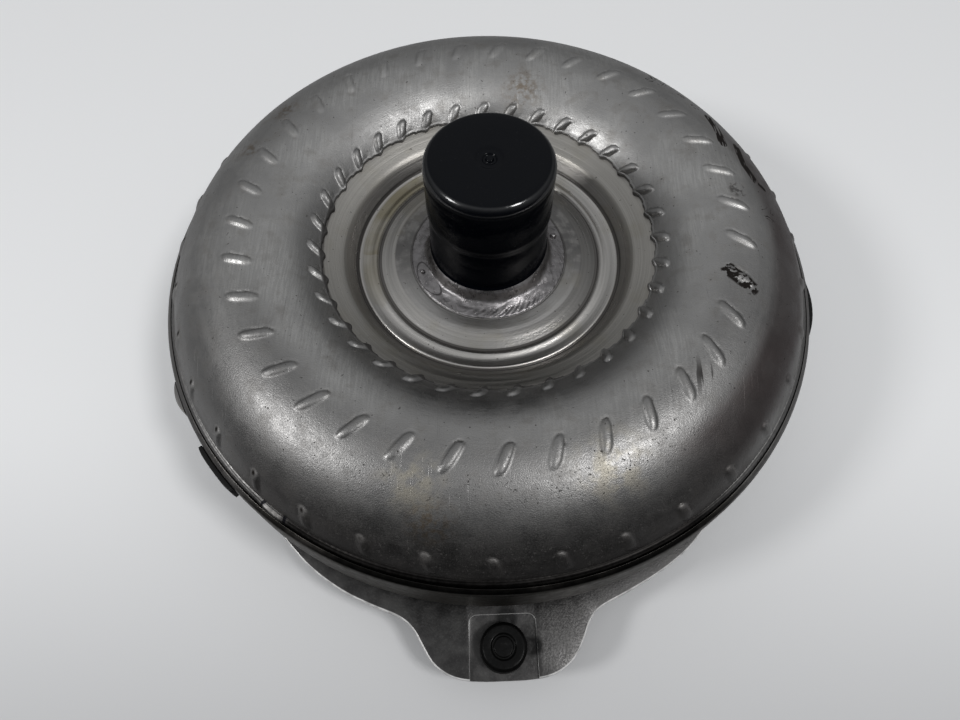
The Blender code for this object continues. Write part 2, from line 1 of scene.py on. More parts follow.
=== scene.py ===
"""Looks of the torque converter: fine meshes with procedural metals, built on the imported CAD.

Heights and radii below are in millimetres. Heights are measured from the lugs' engine-side plane, and
every mesh is raised to the row frame when it is made. Azimuths are in degrees from +X.
"""

import json
import math
from contextlib import contextmanager

import bmesh
import bpy
import numpy as np
from mathutils import Euler, Matrix, Vector


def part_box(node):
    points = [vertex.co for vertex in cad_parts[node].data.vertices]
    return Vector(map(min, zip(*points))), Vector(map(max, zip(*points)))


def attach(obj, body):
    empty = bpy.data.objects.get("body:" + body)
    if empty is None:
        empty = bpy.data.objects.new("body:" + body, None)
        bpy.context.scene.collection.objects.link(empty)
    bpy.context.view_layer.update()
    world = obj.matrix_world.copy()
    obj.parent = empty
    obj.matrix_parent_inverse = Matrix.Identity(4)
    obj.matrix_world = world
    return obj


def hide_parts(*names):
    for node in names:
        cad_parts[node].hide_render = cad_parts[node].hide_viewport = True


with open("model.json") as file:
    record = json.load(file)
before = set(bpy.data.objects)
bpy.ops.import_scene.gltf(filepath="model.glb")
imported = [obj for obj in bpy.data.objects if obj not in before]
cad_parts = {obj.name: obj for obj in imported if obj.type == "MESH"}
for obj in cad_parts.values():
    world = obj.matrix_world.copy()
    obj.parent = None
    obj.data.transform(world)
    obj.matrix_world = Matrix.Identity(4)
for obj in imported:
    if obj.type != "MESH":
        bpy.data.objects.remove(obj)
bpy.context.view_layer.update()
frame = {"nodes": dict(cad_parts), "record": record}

MM = 0.001


def low_mm(node):
    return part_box(node)[0] / MM


def high_mm(node):
    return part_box(node)[1] / MM


def low_z(node):
    """Height of a node's base above the lug plane."""
    return low_mm(node).z - LIFT


def high_z(node):
    """Height of a node's top above the lug plane."""
    return high_mm(node).z - LIFT


# --- driving dimensions, from the frame ---

LIFT = low_mm("lug_1").z  # height of the lug plane in the row frame
SKIRT_R = high_mm("impeller_shell").x
CREST_Z = high_z("impeller_shell")
SHELL_END_Z = low_z("impeller_shell")
RIM_R = high_mm("front_cover").x
RIM_TOP = high_z("front_cover")
COVER_FACE_Z = low_z("front_cover")
CAP_MOUTH_R = high_mm("hub_cap").x
CAP_TOP = high_z("hub_cap")
CAP_BASE = low_z("hub_cap")
HUB_TOP = high_z("impeller_hub")
WELD_TOP = high_z("hub_weld")
PILOT_R = high_mm("crankshaft_pilot").x
PILOT_TOP = high_z("crankshaft_pilot")
LUG_THICK = high_mm("lug_1").z - low_mm("lug_1").z
NUT_BASE = low_z("lug_nut_1")
NUT_TOP = high_z("lug_nut_1")
NUT_R = (high_mm("lug_nut_1").x - low_mm("lug_nut_1").x) / 2

# Torus section: two arcs that share the crest, and the lip where the dome ends
CREST_R = 98.0
OUTER_ARC = SKIRT_R - CREST_R
INNER_ARC = 35.0
LIP_R = 71.5
PRESSED_THICK = 2.6
VANE_COUNT = 35
PITCH = 360 / VANE_COUNT
FIRST_VANE = -90.0


def centre_mm(node):
    return (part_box(node)[0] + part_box(node)[1]) / 2 / MM


def azimuth_of(node):
    middle = centre_mm(node)
    return math.degrees(math.atan2(middle.y, middle.x))


def radius_of(node):
    middle = centre_mm(node)
    return math.hypot(middle.x, middle.y)


def on_axis_point(azimuth, radius, height):
    """Row-frame point, in metres, of a place given round the axis in degrees and millimetres."""
    angle = math.radians(azimuth)
    return Vector((radius * math.cos(angle), radius * math.sin(angle), height + LIFT)) * MM


# --- mesh helpers ---


def finish_mesh(obj, material, *nodes, body="housing", sharp=32):
    """Shades a piece, hangs it on its body, and hides the CAD nodes it stands for."""
    mesh = obj.data
    mesh.materials.clear()
    mesh.materials.append(material)
    mesh.shade_smooth()
    mesh.set_sharp_from_angle(angle=math.radians(sharp))
    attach(obj, body)
    if nodes:
        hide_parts(*nodes)
    return obj


def new_object(name, mesh):
    obj = bpy.data.objects.new(name, mesh)
    bpy.context.scene.collection.objects.link(obj)
    return obj


@contextmanager
def edited(mesh):
    """A bmesh of the mesh, written back to it when the block ends."""
    shape = bmesh.new()
    shape.from_mesh(mesh)
    yield shape
    shape.to_mesh(mesh)
    shape.free()


def grid_object(name, radius, azimuth, height, crease_shade=None):
    """Closed skin from equal grids. Columns run round the axis, rows run round the section."""
    rows, columns = radius.shape
    angle = np.radians(azimuth)
    points = np.stack([radius * np.cos(angle), radius * np.sin(angle), height + LIFT], -1) * MM
    index = np.arange(rows * columns).reshape(rows, columns)
    right = np.roll(index, -1, axis=1)
    below = np.roll(index, -1, axis=0)
    across = np.roll(below, -1, axis=1)
    faces = np.stack([index, below, across, right], -1).reshape(-1, 4)
    mesh = bpy.data.meshes.new(name)
    mesh.from_pydata(points.reshape(-1, 3).tolist(), [], faces.tolist())
    # the optional point attribute carries the marks' painted crease shade
    if crease_shade is not None:
        layer = mesh.attributes.new("crease_shade", "FLOAT", "POINT")
        layer.data.foreach_set("value", crease_shade.reshape(-1).astype(np.float32))
    if radius.min() < 1e-4:
        with edited(mesh) as shape:
            bmesh.ops.remove_doubles(shape, verts=shape.verts, dist=1e-7)
            bmesh.ops.dissolve_degenerate(shape, edges=shape.edges, dist=1e-8)
    return new_object(name, mesh)


def rounded(corners, pieces=4):
    """Closed section from (radius, height, fillet) corners, each fillet drawn as a short curve."""
    points = []
    count = len(corners)
    for i, (r, z, fillet) in enumerate(corners):
        here = Vector((r, z))
        before = Vector(corners[i - 1][:2]) - here
        after = Vector(corners[(i + 1) % count][:2]) - here
        reach = min(fillet, before.length * 0.45, after.length * 0.45)
        if reach <= 0 or r == 0:
            points.append((r, z))
            continue
        start = here + before.normalized() * reach
        end = here + after.normalized() * reach
        for k in range(pieces + 1):
            t = k / pieces
            curve = start * (1 - t) ** 2 + here * 2 * t * (1 - t) + end * t**2
            points.append((curve.x, curve.y))
    return points


def resampled(points, spacing):
    """The closed section with long runs split, so that a displacement has points to move."""
    dense = []
    for i, (r, z) in enumerate(points):
        next_r, next_z = points[(i + 1) % len(points)]
        length = math.hypot(next_r - r, next_z - z)
        pieces = max(1, math.ceil(length / spacing))
        dense += [(r + (next_r - r) * k / pieces, z + (next_z - z) * k / pieces) for k in range(pieces)]
    return dense


def section_normals(radius, height):
    """Outward normals of a closed section that runs down its outer side."""
    along_r = np.roll(radius, -1) - np.roll(radius, 1)
    along_z = np.roll(height, -1) - np.roll(height, 1)
    length = np.hypot(along_r, along_z) + 1e-9
    return -along_z / length, along_r / length


def turned(name, corners, columns=160, spacing=None, displace=None, pieces=4):
    """A rounded section spun about the axis, moved by displace(radius, azimuth, height) in mm."""
    points = rounded(corners, pieces)
    if spacing:
        points = resampled(points, spacing)
    section = np.array(points)
    azimuth = np.arange(columns) * 360 / columns
    radius = np.repeat(section[:, :1], columns, axis=1)
    height = np.repeat(section[:, 1:], columns, axis=1)
    turn = np.repeat(azimuth[None, :], len(section), axis=0)
    if displace:
        out_r, out_z = section_normals(section[:, 0], section[:, 1])
        moved = displace(radius, turn, height)
        radius = radius + moved * out_r[:, None]
        height = height + moved * out_z[:, None]
    return grid_object(name, radius, turn, height)


def waves(azimuth, other, seeds, size):
    """Smooth, repeatable unevenness from a few sine waves that close round the axis."""
    total = 0
    for number, (turns, rate, phase) in enumerate(seeds, 1):
        total = total + np.sin(np.radians(azimuth) * turns + other * rate + phase) / number
    return total * size


# --- impeller shell ---

# Arc lengths along the dome, measured from the lip
INNER_SWEEP = math.degrees(math.asin((CREST_R - LIP_R) / INNER_ARC))
CREST_S = math.radians(INNER_SWEEP) * INNER_ARC

# Each row of raised marks: middle along the section, half length, half width, height, exponent of the flank
MARK_ROWS = (
    (2.8, 3.5, 2.4, 1.3, 0.6),
    (35.0, 6.3, 2.4, 0.82, 0.8),
    (76.4, 5.6, 2.5, 1.0, 0.7),
)
# The blades' line across the dome: arc length and azimuth offset from the first vane
BLADE_LINE_S = (0.0, 9.4, 28.5, 41.5, 70.5, 82.3)
BLADE_LINE_AZ = (8.2, 4.5, 4.0, 0.95, 0.0, 1.25)
# How tightly the columns gather on the blades' line
GATHER_S = (0.0, 10.0, 28.0, 42.0, 68.0, 84.0)
GATHER = (0.62, 0.62, 0.36, 0.36, 0.2, 0.2)
COLUMNS_PER_VANE = 24


def dome_section(arc_length):
    """Radius, height and outward normal on the dome at each arc length from the lip."""
    inner_angle = np.radians(INNER_SWEEP) - arc_length / INNER_ARC
    outer_angle = np.minimum((arc_length - CREST_S) / OUTER_ARC, math.pi / 2)
    skirt = np.maximum(arc_length - CREST_S - OUTER_ARC * math.pi / 2, 0)
    inside = arc_length < CREST_S
    lean = np.where(inside, -inner_angle, outer_angle)
    arc = np.where(inside, INNER_ARC, OUTER_ARC)
    radius = CREST_R + arc * np.sin(lean)
    height = CREST_Z - arc + arc * np.cos(lean) - skirt
    return radius, height, np.sin(lean), np.cos(lean)


def spread(step, gather):
    """Places columns across one pitch, closer together near the blades' line."""
    return step * (gather + (1 - gather) * np.abs(2 * step) ** 2.4)


def columns_at(arc_length, vane):
    """Azimuth of every column at each arc length, and how far it is from the middle of its pitch."""
    steps = (np.arange(COLUMNS_PER_VANE) + 0.5) / COLUMNS_PER_VANE - 0.5
    gather = np.interp(arc_length, GATHER_S, GATHER)[:, None]
    across = PITCH * np.tile(spread(steps[None, :], gather), (1, VANE_COUNT))
    line = FIRST_VANE + np.interp(arc_length, BLADE_LINE_S, BLADE_LINE_AZ)[:, None]
    return line + vane * PITCH + across, across


def make_dome():
    """Outer half of the pressed shell with its three rows of raised marks and the scalloped lip."""
    zones = [
        np.arange(0.0, 10.4, 0.45),
        np.arange(11.5, 27.5, 2.6),
        np.arange(28.2, 42.4, 0.5),
        np.arange(43.6, 69.0, 2.5),
        np.arange(70.0, 83.2, 0.6),
        np.array([84.2, 85.8, 88.0, 91.0, 94.0]),
    ]
    end_s = CREST_S + OUTER_ARC * math.pi / 2 + CREST_Z - OUTER_ARC - SHELL_END_Z
    outer_s = np.append(np.concatenate(zones), end_s)
    arc_length = np.repeat(outer_s[:, None], VANE_COUNT * COLUMNS_PER_VANE, axis=1)
    vane = np.repeat(np.arange(VANE_COUNT), COLUMNS_PER_VANE)[None, :]
    azimuth, across = columns_at(outer_s, vane)
    radius, height, normal_r, normal_z = dome_section(arc_length)

    # each mark differs a little from its neighbours, as hand-struck ones do
    uneven = 1 + 0.12 * np.sin(vane * 2.4 + 0.7) + 0.06 * np.sin(vane * 5.1)
    lift = np.zeros_like(radius)
    crease_shade = np.zeros_like(radius)
    turn = np.radians(azimuth)
    for row, (middle, half_length, half_width, size, flank) in enumerate(MARK_ROWS):
        along = (arc_length - middle) / half_length
        sideways = np.radians(across) * radius / half_width
        ring = np.abs(along) ** 3.4 + np.abs(sideways) ** 2.4
        # the punch leaned, so the back side of every mark is a sharp fold and its front side is soft
        back = (sideways * np.cos(turn) + along * np.sin(turn)) / (np.hypot(sideways, along) + 0.05)
        steep = flank * (1 + 0.7 * np.clip(-back, 0, 1))
        lift += size * uneven * np.clip(1 - ring, 0, 1) ** steep
        fold = np.exp(-(((ring - 1.12) / 0.3) ** 2)) * np.clip(back * 1.3 - 0.1, 0, 1)
        lift -= 0.14 * fold
        wander = 0.10 * np.sin(arc_length * 1.7 + vane * 1.9) + 0.05 * np.sin(arc_length * 4.3 + vane)
        if row == 1:
            keep = 0.6 + 0.4 * np.sin(vane * 3.7 + arc_length * 0.9)
            # the fold along the far side of each middle mark is pressed in and painted dark: painted shade
            crease = np.exp(-(((ring - 0.95 - 2 * wander) / 0.2) ** 2)) * np.clip(back * 1.4 - 0.25, 0, 1)
            crease_shade += crease * keep
            lift -= 0.16 * crease * keep
        if row == 2:
            # a nick at the upper end of each outer mark, deepest on the left; the nick and a groove beside
            # it are pressed in and painted dark as painted shade
            left = np.clip(np.cos(turn - math.radians(-165)) * 1.8 - 0.4, 0, 1)
            nick = np.exp(-(((along + 0.75) / 0.24) ** 2) - ((sideways + 0.05) / 0.42) ** 2) * left
            groove = np.exp(-(((sideways + 0.35) / 0.22) ** 2)) * np.clip(1 - np.abs(along), 0, 1) * left
            crease_shade += 1.2 * nick + 0.35 * groove
            lift -= 0.2 * nick + 0.3 * groove
    lift += waves(azimuth, arc_length, ((3, 0.05, 0.4), (7, 0.11, 2.0), (16, 0.23, 4.1)), 0.035)

    # the lip steps in a little from each mark to the next and hooks round the foot of the mark
    phase = across / PITCH + 0.5
    foot = np.exp(-((np.radians(across - 0.9) * LIP_R / 1.7) ** 2))
    lip_shift = -0.6 * phase + 0.25 - 0.9 * foot
    near_lip = np.clip(1 - arc_length / 3.2, 0, 1) ** 1.5
    radius = radius + lift * normal_r + lip_shift * near_lip
    height = height + lift * normal_z + 0.35 * lip_shift * near_lip

    # the lip rolls over and drops to the dish
    roll = ((-0.25, -0.08), (-0.5, -0.3), (-0.62, -0.7), (-0.6, -1.3), (-0.4, -2.2))
    lip_rows = [(radius[0] + dr, height[0] + dz) for dr, dz in reversed(roll)]

    # the inside follows the section without the marks
    inner_s = np.array([end_s, 92.0, 80.0, 68.0, 56.0, 44.0, 33.0, 22.0, 11.0, 3.0])
    in_r, in_z, in_nr, in_nz = dome_section(inner_s)
    in_r = in_r - PRESSED_THICK * in_nr
    in_z = in_z - PRESSED_THICK * in_nz
    in_azimuth, _ = columns_at(inner_s, vane)
    wide = np.ones((1, radius.shape[1]))

    all_radius = np.concatenate([[row[0] for row in lip_rows], radius, in_r[:, None] * wide])
    all_height = np.concatenate([[row[1] for row in lip_rows], height, in_z[:, None] * wide])
    lip_azimuth = np.repeat(azimuth[:1], len(roll), axis=0)
    all_azimuth = np.concatenate([lip_azimuth, azimuth, in_azimuth])
    all_crease_shade = np.concatenate([np.zeros_like(lip_azimuth), crease_shade, np.zeros_like(in_azimuth)])
    return grid_object("shell_dome", all_radius, all_azimuth, all_height, all_crease_shade)


def make_dish():
    """Inner half of the shell: weld land, channel between two lips, steep wall and brushed annulus."""
    top = [
        (24.4, 55.0, 0.0), (33.4, 55.05, 0.3), (33.9, 54.95, 0.15), (34.4, 55.15, 0.3), (40.5, 55.15, 2.5),
        (46.9, 53.15, 0.7), (47.9, 53.0, 0.25), (49.4, 54.55, 0.9), (52.6, 53.45, 3.0), (56.2, 54.95, 0.9),
        (57.3, 54.0, 0.35), (61.9, 59.7, 1.6), (70.7, 63.4, 1.5), (74.6, 64.6, 0.0),
    ]
    under = [(74.6, 62.0, 0.0), (62.5, 57.2, 1.0), (58.4, 51.0, 1.0), (24.4, 51.0, 0.0)]

    def worn(radius, azimuth, height):
        return waves(azimuth, radius, ((2, 0.3, 0.1), (5, 0.7, 1.9), (11, 1.1, 0.6)), 0.02)

    return turned("shell_dish", top + under, 420, 0.9, worn, 5)


# --- welds ---

LAP_AZIMUTH = -126.0  # lapped end of the closure weld


def make_hub_weld():
    """Fillet weld round the hub: overlapping crescents, with one smoother patch where it was started."""
    crest = WELD_TOP - 0.4
    section = [
        (24.2, crest, 0.2), (25.3, crest - 1.2, 0.6), (26.7, 57.5, 1.4), (29.2, 56.35, 1.6),
        (33.1, 55.5, 0.4), (33.7, 55.1, 0.2), (33.5, 54.9, 0.1), (24.2, 54.9, 0.1),
    ]

    def ripple(radius, azimuth, height):
        across = (radius - 24.2) / 9.5
        turn = np.radians(azimuth)
        rough_side = 0.15 + 0.85 * np.clip(np.cos(turn - math.radians(-48)), 0, 1) ** 1.5
        crescents = np.sin((turn + 0.28 * across**2) * 74 + 1.4 * np.sin(turn * 9 + radius * 0.8))
        folds = np.sin(radius * 1.5 + 2.6 * np.sin(turn * 5 + 0.6) + 1.1 * np.sin(turn * 13 + radius * 0.6))
        smooth_patch = np.exp(-((((azimuth - 209) / 17) ** 2 + ((radius - 30.2) / 2.6) ** 2) ** 3))
        body = np.clip((radius - 24.6) / 1.5, 0, 1) * np.clip((33.9 - radius) / 0.8, 0, 1)
        outer_half = np.clip(across * 1.8 - 0.5, 0, 1)
        melt = 0.05 * rough_side * crescents * outer_half + 0.09 * folds * (0.35 + 0.65 * (1 - outer_half))
        return body * (melt * (1 - 0.9 * smooth_patch) + 0.2 * smooth_patch)

    return turned("hub_weld_bead", section, 900, 0.4, ripple, 4)


def ball(name, azimuth, radius, height, size):
    """One bead of weld spatter, slightly flattened where it stuck."""
    mesh = bpy.data.meshes.new(name)
    with edited(mesh) as shape:
        bmesh.ops.create_icosphere(shape, subdivisions=3, radius=size * MM)
        bmesh.ops.scale(shape, vec=(1.0, 0.92, 0.8), verts=shape.verts)
    mesh.transform(Matrix.Translation(on_axis_point(azimuth, radius, height)))
    return new_object(name, mesh)


def make_rim_weld():
    """Closure weld between the cover's lip and the dome: a low, nearly smooth bead with one lapped end."""
    base = RIM_TOP - 0.35
    section = [
        (SKIRT_R - 2.2, base + 2.6, 0.1), (SKIRT_R - 0.9, base + 2.0, 0.6),
        (SKIRT_R + 0.1, base + 0.9, 0.5), (SKIRT_R + 0.35, base + 0.1, 0.1), (SKIRT_R + 0.1, base, 0.1),
        (SKIRT_R - 0.9, base, 0.1),
    ]

    def ripple(radius, azimuth, height):
        away = (azimuth - LAP_AZIMUTH + 180) % 360 - 180
        lap = 0.7 * np.exp(-((away / 2.6) ** 4) - ((radius - SKIRT_R) / 1.2) ** 2)
        top = np.clip((height - base) / 0.5, 0, 1)
        beads = 0.05 * np.sin(np.radians(azimuth) * 340 + 3 * np.sin(np.radians(azimuth) * 7))
        lines = 0.06 * np.sin(radius * 6.0 + np.sin(np.radians(azimuth) * 4) * 2)
        return top * (lap + beads + lines)

    return turned("rim_weld_bead", section, 1080, 0.5, ripple, 4)


# --- cover, pilot, hub and cap ---


def make_cover():
    """Pressed cover with its turned rim band, tucked-in side and stepped face."""
    section = [
        (0.0, COVER_FACE_Z + 4.5, 0.0), (78.0, COVER_FACE_Z + 4.5, 3.0), (84.0, -0.6, 2.0),
        (112.0, -0.6, 4.0), (128.6, 17.0, 4.0), (138.2, 26.0, 2.0), (138.2, 34.2, 0.4),
        (SKIRT_R + 0.4, 34.2, 0.3), (SKIRT_R + 0.4, RIM_TOP - 1.0, 0.1),
        (SKIRT_R + 0.6, RIM_TOP - 0.3, 0.1), (SKIRT_R + 0.9, RIM_TOP, 0.2),
        (RIM_R - 0.5, RIM_TOP - 1.4, 0.9), (RIM_R, RIM_TOP - 3.6, 1.4), (RIM_R, 18.8, 1.4),
        (RIM_R - 2.0, 16.0, 1.6), (126.4, 5.4, 4.0), (114.0, -5.0, 5.0), (86.5, -5.0, 3.0),
        (80.5, COVER_FACE_Z, 3.0), (0.0, COVER_FACE_Z, 0.0),
    ]

    def turned_marks(radius, azimuth, height):
        band = np.clip((radius - RIM_R + 0.5) / 0.4, 0, 1)
        return -0.05 * band * np.abs(np.sin(height * 1.9)) ** 6

    return turned("cover_shell", section, 480, 2.2, turned_marks, 5)


def make_pilot():
    section = [
        (0.0, PILOT_TOP, 0.0), (PILOT_R, PILOT_TOP, 0.1), (PILOT_R, -LIFT + 0.9, 0.3),
        (PILOT_R - 0.9, -LIFT, 0.3), (6.0, -LIFT, 0.2), (5.0, -LIFT + 1.2, 0.2), (0.0, -LIFT + 1.2, 0.0),
    ]
    return turned("pilot_boss", section, 128)


def make_hub_tube():
    """Ground tube for the pump seal, chamfered at its mouth, with two drive notches."""
    inner = 19.5
    outer = 23.8
    section = [
        (inner, HUB_TOP, 0.5), (outer - 0.8, HUB_TOP, 0.3), (outer, HUB_TOP - 1.0, 0.3), (outer, 50.3, 0.3),
        (31.0, 50.3, 0.3), (31.0, 46.6, 0.3), (inner, 46.6, 0.4),
    ]
    tube = turned("hub_tube", section, 144, 6.0)
    notch = new_object("hub_notch_cutter", bpy.data.meshes.new("hub_notch_cutter"))
    size = Vector((60.0, 10.0, 13.0))
    middle = Vector((0, 0, HUB_TOP - 8.0 + size.z / 2 + LIFT))
    with edited(notch.data) as shape:
        bmesh.ops.create_cube(shape, size=1.0)
        bmesh.ops.scale(shape, vec=size * MM, verts=shape.verts)
        bmesh.ops.translate(shape, vec=middle * MM, verts=shape.verts)
    carve(tube, notch)
    return tube


def carve(obj, cutter, bevel=0.0):
    """Cuts the cutter's shape out for good, rounds the fresh edges, and drops the cutter."""
    difference = obj.modifiers.new("carve", "BOOLEAN")
    difference.operation = "DIFFERENCE"
    difference.solver = "EXACT"
    difference.object = cutter
    if bevel:
        edge = obj.modifiers.new("edge", "BEVEL")
        edge.width = bevel * MM
        edge.segments = 3
        edge.limit_method = "ANGLE"
        edge.angle_limit = math.radians(40)
    graph = bpy.context.evaluated_depsgraph_get()
    mesh = bpy.data.meshes.new_from_object(obj.evaluated_get(graph))
    obj.modifiers.clear()
    obj.data = mesh
    bpy.data.objects.remove(cutter, do_unlink=True)


def make_cap():
    """Push-on vinyl cap: soft crown with a gate dimple, waisted side and a thin flared mouth."""
    side_r = CAP_MOUTH_R
    section = [
        (0.0, CAP_TOP - 0.7, 0.0), (1.2, CAP_TOP - 0.65, 0.3), (1.6, CAP_TOP - 1.5, 0.25),
        (2.4, CAP_TOP - 1.5, 0.3), (3.0, CAP_TOP - 0.75, 0.5), (4.4, CAP_TOP - 0.75, 0.6),
        (5.6, CAP_TOP - 0.15, 1.0), (15.0, CAP_TOP, 4.0), (side_r - 0.1, CAP_TOP - 0.25, 5.6),
        (side_r, 100.0, 4.0), (side_r - 0.1, 88.0, 3.0), (side_r - 0.8, 84.6, 2.0),
        (side_r - 0.75, 77.0, 3.0), (side_r - 0.5, 66.0, 3.0), (side_r - 0.65, CAP_BASE + 1.6, 0.5),
        (side_r - 0.05, CAP_BASE + 0.6, 0.3), (side_r - 0.05, CAP_BASE, 0.2), (24.2, CAP_BASE, 0.2),
        (24.1, 100.0, 2.0), (24.0, CAP_TOP - 3.8, 1.0), (22.4, CAP_TOP - 2.2, 1.0),
        (0.0, CAP_TOP - 2.2, 0.0),
    ]

    def soft(radius, azimuth, height):
        side = np.clip((radius - side_r + 1.6) / 1.0, 0, 1) * np.clip((CAP_TOP - 3 - height) / 6, 0, 1)
        crown = np.clip((height - CAP_TOP + 1.4) / 0.8, 0, 1) * np.clip((22 - radius) / 8, 0, 1)
        dent_waves = ((2, 0.10, 0.3), (3, -0.21, 1.7), (5, 0.35, 4.0), (4, -0.5, 2.2))
        dents = waves(azimuth, height, dent_waves, 0.10)
        sag = waves(azimuth, radius, ((1, 0.3, 0.5), (2, 0.5, 2.5)), 0.06)
        return side * (dents - 0.1) + crown * (sag - 0.06)

    return turned("vinyl_cap", section, 220, 1.2, soft, 8)


# --- lugs, nuts and weights ---


def curve_through(points, pieces=6):
    """Points of a smooth open curve through the given ones."""
    padded = [points[0]] + list(points) + [points[-1]]
    dense = []
    for i in range(1, len(padded) - 2):
        p0, p1, p2, p3 = (Vector(padded[i + k]) for k in (-1, 0, 1, 2))
        for k in range(pieces):
            t = k / pieces
            square = (2 * p0 - 5 * p1 + 4 * p2 - p3) * t**2
            cube = (3 * p1 - p0 - 3 * p2 + p3) * t**3
            dense.append(0.5 * (2 * p1 + (p2 - p0) * t + square + cube))
    dense.append(Vector(points[-1]))
    return dense


def plate(name, outline, low, high, bevel=0.0):
    """Flat plate in the lug plane from a closed outline of (x, y), with an optional rounded edge."""
    curve = bpy.data.curves.new(name, "CURVE")
    curve.dimensions = "2D"
    curve.fill_mode = "BOTH"
    curve.extrude = ((high - low) / 2 - bevel) * MM
    curve.bevel_depth = bevel * MM
    curve.offset = -bevel * MM
    curve.bevel_resolution = 2
    spline = curve.splines.new("POLY")
    spline.points.add(len(outline) - 1)
    for point, (x, y) in zip(spline.points, outline):
        point.co = (x * MM, y * MM, 0, 1)
    spline.use_cyclic_u = True
    guide = new_object(name, curve)
    guide.location.z = ((high + low) / 2 + LIFT) * MM
    bpy.context.view_layer.update()
    graph = bpy.context.evaluated_depsgraph_get()
    mesh = bpy.data.meshes.new_from_object(guide.evaluated_get(graph))
    mesh.transform(guide.matrix_world)
    bpy.data.objects.remove(guide, do_unlink=True)
    with edited(mesh) as shape:
        bmesh.ops.remove_doubles(shape, verts=shape.verts, dist=1e-6)
        bmesh.ops.recalc_face_normals(shape, faces=shape.faces)
    return new_object(name, mesh)


def make_lug(number):
    """Mounting lug: waisted ear with a nut seat pressed into it, open at the nose."""
    turn = Matrix.Rotation(math.radians(azimuth_of(f"lug_nut_{number}")), 4, "Z")
    inner = 127.0
    reach = 169.0
    weld_half = 96.0
    nose = [(0.0, reach), (9.0, reach - 0.1), (17.0, reach - 1.0), (23.0, reach - 3.2)]
    nose += [(28.5, 161.5), (32.6, 155.0)]
    tip = (98.0, 101.9)
    left = [(36.4, 148.6), (42.2, 143.6), (54.0, 138.5), (66.5, 132.2), (79.5, 122.8), (90.0, 112.0), tip]
    right = [(36.0, 148.0), (41.0, 142.8), (54.0, 136.6), (66.5, 130.2), (79.5, 121.6), (90.0, 111.4), tip]
    left_half = curve_through(nose + left)
    right_half = curve_through(nose + right)
    edge = [(-p.x, p.y) for p in reversed(right_half)] + [(p.x, p.y) for p in left_half[1:]]
    end = weld_half / inner
    angles = [end * k / 12 for k in range(12, -13, -1)]
    weld_edge = [(inner * math.sin(a), inner * math.cos(a)) for a in angles]
    outline = [(y, -x) for x, y in edge + weld_edge]
    lug = plate(f"lug_plate_{number}", outline, 0.0, LUG_THICK, 0.8)
    seat_half = 13.7
    seat_in = 144.0
    fillet = 3.4
    angles = [math.radians(d) for d in range(0, 91, 15)]
    arcs = [(fillet * (1 - math.sin(a)), fillet * (math.cos(a) - 1)) for a in angles]
    corner = [(seat_in + dx, seat_half + dy) for dx, dy in arcs]
    seat_outline = [(reach + 4, seat_half), *corner]
    seat_outline += [(x, -y) for x, y in reversed(seat_outline)]
    seat = plate(f"lug_seat_{number}", seat_outline, LUG_THICK - 1.4, LUG_THICK + 4.0)
    carve(lug, seat, 0.22)
    lug.data.transform(turn)
    return lug


def make_nut(number):
    """Closed weld nut: chamfered skirt, ring groove and a flat disc in the middle of its crown."""
    step = NUT_TOP - 0.7
    corners = [
        (0.0, step, 0.0), (3.7, step, 0.25), (4.0, step - 0.5, 0.15), (4.6, step - 0.5, 0.15),
        (5.1, NUT_TOP - 0.15, 0.3), (8.2, NUT_TOP, 0.5), (NUT_R - 0.1, NUT_TOP - 1.3, 0.5),
        (NUT_R - 0.1, NUT_BASE + 1.3, 0.3), (NUT_R, NUT_BASE + 0.7, 0.3), (NUT_R, NUT_BASE - 0.1, 0.2),
        (4.4, NUT_BASE - 0.1, 0.2), (4.3, NUT_TOP - 3.0, 0.2), (0.0, NUT_TOP - 3.0, 0.0),
    ]
    nut = turned(f"weld_nut_{number}", corners, 96)
    middle = centre_mm(f"lug_nut_{number}")
    nut.data.transform(Matrix.Translation(Vector((middle.x, middle.y, 0)) * MM))
    return nut


def make_weight(number, crowned):
    """Spot-welded balance strip bent round the rim band, or a lens-shaped lump if it is crowned."""
    node = f"balance_weight_{number}"
    centre = azimuth_of(node)
    mesh = frame["nodes"][node].data
    angles = [math.degrees(math.atan2(v.co.y, v.co.x)) for v in mesh.vertices]
    far = max(abs((a - centre + 180) % 360 - 180) for a in angles)
    inner = RIM_R + 0.12
    steps = 20
    spans = [2 * k / steps - 1 for k in range(steps + 1)]
    bulge = [0.2 + 1.6 * (1 - t * t) if crowned else 1.9 - 0.5 * abs(t) ** 8 for t in spans]
    ring = [(inner + b, centre + far * t) for b, t in zip(bulge, spans)]
    ring += [(inner, centre + far * t) for t in reversed(spans)]
    outline = [(r * math.cos(math.radians(a)), r * math.sin(math.radians(a))) for r, a in ring]
    return plate(f"weight_strip_{number}", outline, low_z(node), high_z(node), 0.3)


# --- materials ---


